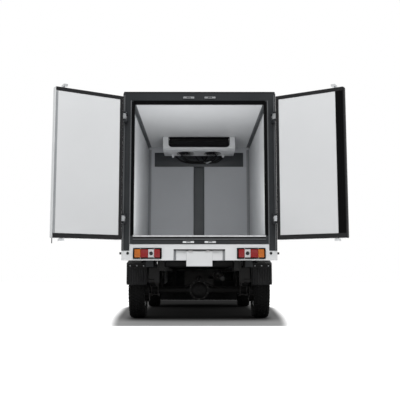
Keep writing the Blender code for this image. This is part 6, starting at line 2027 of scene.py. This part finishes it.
def buildSeats():
    low, high = seatLook["across"]
    middle = (low + high) / 2
    cushion = swell(padShape("seatCushionRight", seatLook["cushion"], 0.030))
    top = lambda spot, normal: normal.z > 0.5
    sewSeams(cushion, [(0, middle - 0.135, top), (0, middle + 0.135, top),
                       (1, rearY + 3.16, lambda spot, normal: top(spot, normal)
                        and abs(spot.x - middle) < 0.135)])
    back = swell(padShape("seatBackRight", seatLook["back"], 0.028))
    front = lambda spot, normal: normal.y > 0.5
    sewSeams(back, [(0, middle - 0.130, lambda spot, normal: front(spot, normal) and spot.z < 1.44),
                    (0, middle + 0.130, lambda spot, normal: front(spot, normal) and spot.z < 1.44),
                    (2, 1.44, front),
                    (2, 1.27, lambda spot, normal: front(spot, normal)
                     and abs(spot.x - middle) < 0.130)])
    onBothSides(addPiping("seatPipingRight", cushion, 1.035, 0.9), "sealRubber")
    base = addPlate("seatBaseRight", (low + 0.03, high - 0.03), (2.872, 3.288), (0.7455, 0.953), 0)
    pushFaces(base, lambda spot, normal: abs(normal.z) < 0.5, inset=0.028, depth=-0.010)
    soften(base, 0.005, 3, 30)
    for pad, fill in ((cushion, 0.85), (back, 0.8)):
        twin = mirrorPiece(pad, pad.name.replace("Right", "Left"))
        for piece in (pad, twin):
            put(piece, "seatCloth", smooth=60)
    onBothSides(base, "darkPlastic")
    for tag in ("Right", "Left"):
        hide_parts("seat_" + tag.lower())
    bar = addPipe("bar", [(high - 0.014, rearY + 2.93, 0.99), (high - 0.006, rearY + 2.96, 1.0),
                          (high - 0.004, rearY + 3.05, 1.004)], 0.006, 10)
    hub = addBlock("hub", (high - 0.03, rearY + 2.90, 0.955), (high - 0.008, rearY + 2.95, 1.02))
    onBothSides(joinAll("seatLeverRight", [bar, soften(hub, 0.006, 3)]), "darkPlastic")


def buildDash():
    face = 3.7203
    parts = []
    for x in (-0.645, -0.115, 0.115, 0.645):
        vent = addPlate("vent", (x - 0.048, x + 0.048), (face - 0.010, face + 0.002),
                        (1.030, 1.088), 0)
        roundAlong(vent, "Y", 0.012, 4)
        pushFaces(vent, facing["-Y"], inset=0.007, depth=-0.006)
        parts.append(soften(vent, 0.0012))
        for z in (1.046, 1.059, 1.072):
            parts.append(addPlate("vane", (x - 0.040, x + 0.040), (face - 0.0075, face - 0.003),
                                  (z - 0.002, z + 0.002), 0.0006))
    panel = addPlate("panel", (-0.095, 0.095), (face - 0.008, face + 0.002), (0.915, 1.015), 0)
    roundAlong(panel, "Y", 0.010, 4)
    pushFaces(panel, facing["-Y"], inset=0.006, depth=-0.002)
    parts.append(soften(panel, 0.0012))
    for x in (-0.055, 0, 0.055):
        knob = addBar("knob", (x, rearY + face - 0.004, 0.942), (x, rearY + face - 0.021, 0.942),
                      0.015, 24, 0.0125)
        parts.append(soften(knob, 0.0015, 2, 40))
    box = addPlate("box", (0.185, 0.575), (face - 0.005, face + 0.002), (0.918, 1.010), 0)
    roundAlong(box, "Y", 0.012, 4)
    parts.append(soften(box, 0.0025, 3))
    parts.append(soften(addPlate("latch", (0.345, 0.415), (face - 0.010, face - 0.003),
                                 (0.985, 1.000), 0), 0.003, 3))
    hood = addPlate("hood", (-0.505, -0.215), (3.745, 3.930), (1.118, 1.168), 0)
    roundAlong(hood, "Y", 0.040, 6, lambda spot: spot.z > 1.15)
    pushFaces(hood, facing["-Y"], inset=0.008, depth=-0.030)
    parts.append(soften(hood, 0.0025, 3))
    put(joinAll("dashDetails", parts), "darkPlastic")
    dials = []
    for x, radius in ((-0.415, 0.017), (-0.36, 0.020), (-0.305, 0.017)):
        dial = addBar("dial", (x, rearY + 3.776, 1.142), (x, rearY + 3.771, 1.142), radius, 28)
        pushFaces(dial, facing["-Y"], inset=0.002, depth=-0.001)
        dials.append(dial)
    put(joinAll("dashDials", dials), "wheelSilver")
    column = [addBar("column", (-0.36, rearY + 3.585, 1.185), (-0.36, rearY + 3.735, 1.062), 0.034,
                     24, 0.044)]
    for side in (-1, 1):  # stalks
        column.append(addPipe("stalk", [(-0.36, rearY + 3.640, 1.140),
                                        (-0.36 + side * 0.10, rearY + 3.630, 1.155),
                                        (-0.36 + side * 0.145, rearY + 3.622, 1.165)], 0.0055, 10))
    put(joinAll("steeringColumn", [soften(piece, 0.002, 1, 40) for piece in column]), "darkPlastic")


def buildControls():
    floor = 0.7452
    boot = addBar("gearBoot", (0, rearY + 3.42, floor), (0, rearY + 3.415, floor + 0.075), 0.060,
                  32, 0.016)
    editFaces(boot, lambda spot, normal: abs(normal.z) < 0.9)
    bpy.ops.mesh.subdivide(number_cuts=5)
    endEdit(boot)
    for corner in boot.data.vertices:  # folds of the gaiter
        corner.co.x *= 1 + 0.07 * math.sin((corner.co.z - floor) * 420)
    put(boot, "sealRubber")
    lever = [addPipe("stick", [(0, rearY + 3.415, floor + 0.07), (0, rearY + 3.40, floor + 0.20),
                               (0, rearY + 3.37, floor + 0.31)], 0.0065, 12),
             addBall("knob", (0, rearY + 3.366, floor + 0.325), 0.025, 24)]
    put(joinAll("gearLever", lever), "darkPlastic")
    stick = addPipe("stick", [(0.045, rearY + 3.24, floor + 0.02),
                              (0.045, rearY + 3.13, floor + 0.10),
                              (0.045, rearY + 3.02, floor + 0.15)], 0.009, 12)
    grip = addBar("grip", (0.045, rearY + 3.09, floor + 0.119),
                  (0.045, rearY + 3.00, floor + 0.159), 0.015, 20)
    foot = addBlock("foot", (0.022, rearY + 3.18, floor), (0.068, rearY + 3.30, floor + 0.045))
    put(joinAll("handBrake", [stick, soften(grip, 0.004, 3, 40), soften(foot, 0.010, 3)]),
        "darkPlastic")
    pads = []
    for x, half in ((-0.50, 0.030), (-0.40, 0.036), (-0.29, 0.026)):
        pad = addBlock("pad", (x - half, rearY + 3.800, floor + 0.075),
                       (x + half, rearY + 3.812, floor + 0.135))
        roundAlong(pad, "Y", 0.010, 3)
        pads.append(turnPiece(soften(pad, 0.002), math.radians(-28),
                              (x, rearY + 3.806, floor + 0.10), "X"))
        pads.append(addPipe("arm", [(x, rearY + 3.812, floor + 0.115),
                                    (x, rearY + 3.87, floor + 0.17),
                                    (x, rearY + 3.90, 0.925)], 0.007, 8))
    put(joinAll("pedals", pads), "castIron")
    mats = []
    for side in (-1, 1):
        mat = addBlock("mat", (side * 0.36 - 0.22, rearY + 3.35, floor - 0.0002),
                       (side * 0.36 + 0.22, rearY + 3.70, floor + 0.007))
        roundAlong(mat, "Z", 0.04, 5)
        pushFaces(mat, facing["+Z"], inset=0.015, depth=-0.003)
        mats.append(soften(mat, 0.0015))
    put(joinAll("floorMats", mats), "flapRubber")
    visor = addBlock("sunVisorRight", (0.16, rearY + 3.545, 1.764), (0.52, rearY + 3.665, 1.778))
    roundAlong(visor, "Z", 0.025, 4)
    onBothSides(turnPiece(soften(visor, 0.0045, 3), math.radians(-12), (0.34, rearY + 3.6, 1.77),
                          "X"), "cabinPlastic")
    mirror = addBlock("cabMirror", (-0.10, rearY + 3.600, 1.645), (0.10, rearY + 3.618, 1.705))
    roundAlong(mirror, "Y", 0.02, 4)
    pushFaces(mirror, facing["-Y"], inset=0.005, depth=-0.002)
    stem = addPipe("stem", [(0, rearY + 3.612, 1.69), (0, rearY + 3.64, 1.73),
                            (0, rearY + 3.655, 1.772)], 0.006, 10)
    put(joinAll("cabMirrorCase", [soften(mirror, 0.003, 3), stem]), "darkPlastic")


def buildDoorTrim():
    parts = []
    rest = addBlock("rest", (0.603, rearY + 3.38, 0.950), (0.6405, rearY + 3.66, 0.990))
    roundAlong(rest, "Z", 0.016, 4)
    parts.append(soften(rest, 0.006, 3))
    pocket = addBlock("pocket", (0.616, rearY + 3.10, 0.790), (0.6405, rearY + 3.72, 0.880))
    roundAlong(pocket, "X", 0.025, 4)
    pushFaces(pocket, facing["+Z"], inset=0.006, depth=-0.040)
    parts.append(soften(pocket, 0.004, 3))
    winder = Vector((0.638, rearY + 3.24, 1.035))
    parts.append(soften(addBar("boss", winder, winder + Vector((-0.018, 0, 0)), 0.022, 24, 0.016),
                        0.002, 2, 40))
    crank = [winder + Vector(step) for step in ((-0.014, 0, 0), (-0.020, 0.05, 0.02),
                                                (-0.022, 0.085, 0.03))]
    parts.append(addPipe("crank", crank, 0.0065, 10))
    parts.append(addPipe("latch", [(0.636, rearY + 3.44, 1.075), (0.624, rearY + 3.46, 1.080),
                                   (0.622, rearY + 3.53, 1.078)], 0.0070, 10))
    onBothSides(joinAll("doorTrimRight", parts), "darkPlastic", "cab_door_right_body")


buildSeats()
buildDash()
buildControls()
buildDoorTrim()


# ---- outside of the box: edge trims, corner caps, rivets, rails, marker lamps, condenser fittings
print("box outside")
outside = {
    "half": 0.7953,
    "rear": 0.058,
    "front": 2.6445,
    "low": 0.7920,
    "top": 2.3872,
    "trim": 0.040,
    "thick": 0.0030,
    "rivetPitch": 0.125,
    "markers": (0.62, 1.35, 2.08),
}


def addRivets(name, spots, way):  # domed rivet heads, one made and the rest copied
    first = addBar("rivet", (0, 0, 0), Vector(way) * 0.0022, 0.0052, 10, 0.0030)
    rivets = []
    for spot in spots:
        rivet = copyPiece(first, "rivet")
        rivet.data.transform(Matrix.Translation(spot))
        rivets.append(rivet)
    bpy.data.objects.remove(first, do_unlink=True)
    return joinAll(name, rivets)


def buildBoxFloor():  # the panel's top is pale, its bearers and underside are painted black
    skin = dress("box_floor", "loadFloor", bevel=0.002)
    skin.data.materials.append(finishes["chassisBlack"])
    for face in skin.data.polygons:
        if face.center.z < 0.7925:
            face.material_index = 1


def buildBoxTrim():
    look = outside
    half, thick, leg = look["half"], look["thick"], look["trim"]
    rear, front = rearY + look["rear"], rearY + look["front"]
    top, low = look["top"], look["low"]
    strips = [addCorner("edge", angleRing(half + thick, top + thick, leg, leg, thick),
                        (rear, front + 0.001), "Y"),
              addCorner("edge", angleRing(half + thick, front + thick, leg, leg, thick),
                        (low + 0.052, top + thick * 0.5), "Z")]
    rail = addPlate("rail", (half - 0.001, half + 0.0042), (look["rear"], look["front"] + 0.002),
                    (low - 0.001, low + 0.050), 0)
    pushFaces(rail, facing["+X"], inset=0.008, depth=-0.0018)
    onBothSides(soften(rail, 0.0010, 1, 40), "doorEdge")
    onBothSides(joinAll("boxEdgeRight", [soften(strip, 0.0010) for strip in strips]), "bodyPaint")
    bars = [addCorner("edge", [(front + thick, top + thick), (front + thick - leg, top + thick),
                               (front + thick - leg, top + 0.0002), (front + 0.0002, top + 0.0002),
                               (front + 0.0002, top - leg), (front + thick, top - leg)],
                      (-half + leg, half - leg), "X"),
            addPlate("bar", (-half + 0.04, half - 0.04), (look["front"], look["front"] + 0.003),
                     (low, low + 0.045), 0.001)]
    put(joinAll("boxFrontEdge", bars), "bodyPaint")
    cap = addBlock("capRight", (half - 0.050, front - 0.050, top - 0.050),
                   (half + 0.0045, front + 0.0045, top + 0.0045))
    makeActive(cap)
    edge = cap.modifiers.new("Round", "BEVEL")
    edge.width, edge.segments, edge.limit_method = 0.010, 4, "NONE"
    bpy.ops.object.modifier_apply(modifier="Round")
    onBothSides(cap, "bodyPaint")
    pitch = look["rivetPitch"]
    side = [(half + thick - 0.0004, rear + 0.05 + pitch * step, top - leg * 0.55)
            for step in range(int((front - rear - 0.08) / pitch) + 1)]
    side += [(half + thick - 0.0004, front - leg * 0.5, low + 0.11 + pitch * step)
             for step in range(int((top - low - 0.22) / pitch) + 1)]
    side += [(half + 0.0024, rear + 0.05 + pitch * step, low + 0.025)
             for step in range(int((front - rear - 0.08) / pitch) + 1)]
    onBothSides(addRivets("sideRivetsRight", side, (1, 0, 0)), "doorEdge")
    up = [(x, rear + 0.05 + pitch * step, top + thick - 0.0004)
          for x in (-half + 0.020, half - 0.020)
          for step in range(int((front - rear - 0.08) / pitch) + 1)]
    put(addRivets("roofRivets", up, (0, 0, 1)), "doorEdge")
    nose = [(-0.70 + 0.14 * step, front + thick - 0.0004, top - leg * 0.55) for step in range(11)]
    put(addRivets("frontRivets", nose, (0, 1, 0)), "doorEdge")
    for index, y in enumerate(look["markers"]):
        lamp = addBlock("markerRight%d" % index, (half + 0.003, rearY + y - 0.052, low + 0.012),
                        (half + 0.015, rearY + y + 0.052, low + 0.044))
        roundAlong(lamp, "X", 0.012, 4)
        pushFaces(lamp, facing["+X"], inset=0.005, depth=0.002)
        onBothSides(soften(lamp, 0.0015, 2, 40), "lensAmber")
        middle = rearY + y
        path = boxPath((middle - 0.0535, middle + 0.0535), (low + 0.0105, low + 0.0455), 0.013,
                       4, 3)
        rim = addLoopPipe("markerRimRight%d" % index,
                          [(half + 0.006, ahead, height) for ahead, height in path], 0.0028, 6)
        onBothSides(rim, "sealRubber")
    seams = [addPlate("seam", (-half + leg, half - leg), (y - 0.016, y + 0.016),
                      (top - 0.0002, top + 0.0016), 0.0008) for y in (0.93, 1.80)]
    put(joinAll("roofSeams", seams), "bodyPaint")
    drip = addPlate("dripRail", (-0.795, 0.795), (-0.0018, 0.030), (2.3872, 2.3935), 0)
    pushFaces(drip, facing["+Z"], inset=0.006, depth=-0.0010)
    put(soften(drip, 0.0010), "framePaint")


def buildCondenser():
    skin = makeRays("condenser_unit")
    slats = []
    for step in range(9):  # louvres across the front, laid on the case
        z = 2.020 + 0.026 * step
        slat = stripOnNose("louvre", 0.400, z, 0.012, 0.0028, 0.006, skin, 10)
        slats.append(soften(slat, 0.0014))
    put(joinAll("condenserLouvres", slats), "darkPlastic")
    # the backing behind the louvres is near-black: painted shade inside the grille
    backing = stripOnNose("condenserBack", 0.412, 2.124, 0.240, -0.0010, 0.003, skin, 10)
    put(soften(backing, 0.0010, 1), "gapBlack")
    path = boxPath((-0.420, 0.420), (1.998, 2.250), 0.030)
    rim = [onNose(x, z, 0.001, skin) for x, z in path]
    put(addLoopPipe("condenserRim", rim, 0.0065), "darkPlastic")
    vents = []
    for step in range(7):
        y = 2.720 + 0.034 * step
        vent = addPlate("vent", (0.4985, 0.5022), (y, y + 0.014), (2.075, 2.215), 0)
        roundAlong(vent, "X", 0.006, 3)
        vents.append(soften(vent, 0.0010))
    onBothSides(joinAll("condenserVentsRight", vents), "darkPlastic")
    feet = [addPlate("foot", (0.30, 0.36), (2.6446, 2.70), (1.936, 1.962), 0.004),
            addPlate("foot", (0.30, 0.36), (2.6446, 2.652), (1.880, 1.962), 0.002)]
    onBothSides(joinAll("condenserFeetRight", feet), "chassisBlack")
    lines = []
    for index, x in enumerate((-0.06, 0.02, 0.10)):
        lines.append(addPipe("line", [(x, rearY + 2.70, 1.965), (x, rearY + 2.68, 1.935),
                                      (x, rearY + 2.6470, 1.915)], 0.011 - 0.002 * index, 12))
        lines.append(addRing("gland", (x, rearY + 2.6475, 1.915), 0.018 - 0.002 * index, 0.005, "Y",
                             20, 8))
    put(joinAll("coolantLines", lines), "sealRubber")
    bolts = [addBolt("bolt", (x, rearY + 2.72, 2.3105), 0.006, -0.004, "Z") for x in (-0.42, 0.42)]
    put(joinAll("condenserBolts", bolts), "zinc")


buildBoxFloor()
buildBoxTrim()
buildCondenser()


# ---- every CAD node that is still shown gets its finish
nodeGroups = {  # names without their side
    "chassisBlack": "rail runner rear_axle rear_spring front_suspension",
    "panelWhite": "box_wall box_roof rear_door", "loadFloor": "box_floor",
    # the front wall wears the darker wall colour: painted shade
    "wallFar": "box_front_wall", "framePaint": "box_rear_frame",
    "bodyPaint": "rear_bumper cab_shell cab_door", "clearLens": "tail_lamp headlamp",
    "housingPale": "evaporator condenser_unit", "sealRubber": "evaporator_hose mudguard",
    "castIron": "powertrain knuckle", "exhaustSteel": "exhaust", "zinc": "lock_gear",
    "darkPlastic": "fuel_tank front_bumper steering_wheel mirror",
    "cabinPlastic": "cab_floor dashboard", "paneGlass": "windscreen door_glass",
    "seatCloth": "seat", "tyreBlack": "tyre_front tyre_rear", "wheelSilver": "rim_front rim_rear",
}
nodeFinish = {stem: finish for finish, group in nodeGroups.items() for stem in group.split()}
for name, piece in nodes.items():
    finish = nodeFinish[name.removesuffix("_left").removesuffix("_right")]
    piece.data.materials.clear()
    piece.data.materials.append(finishes[finish])
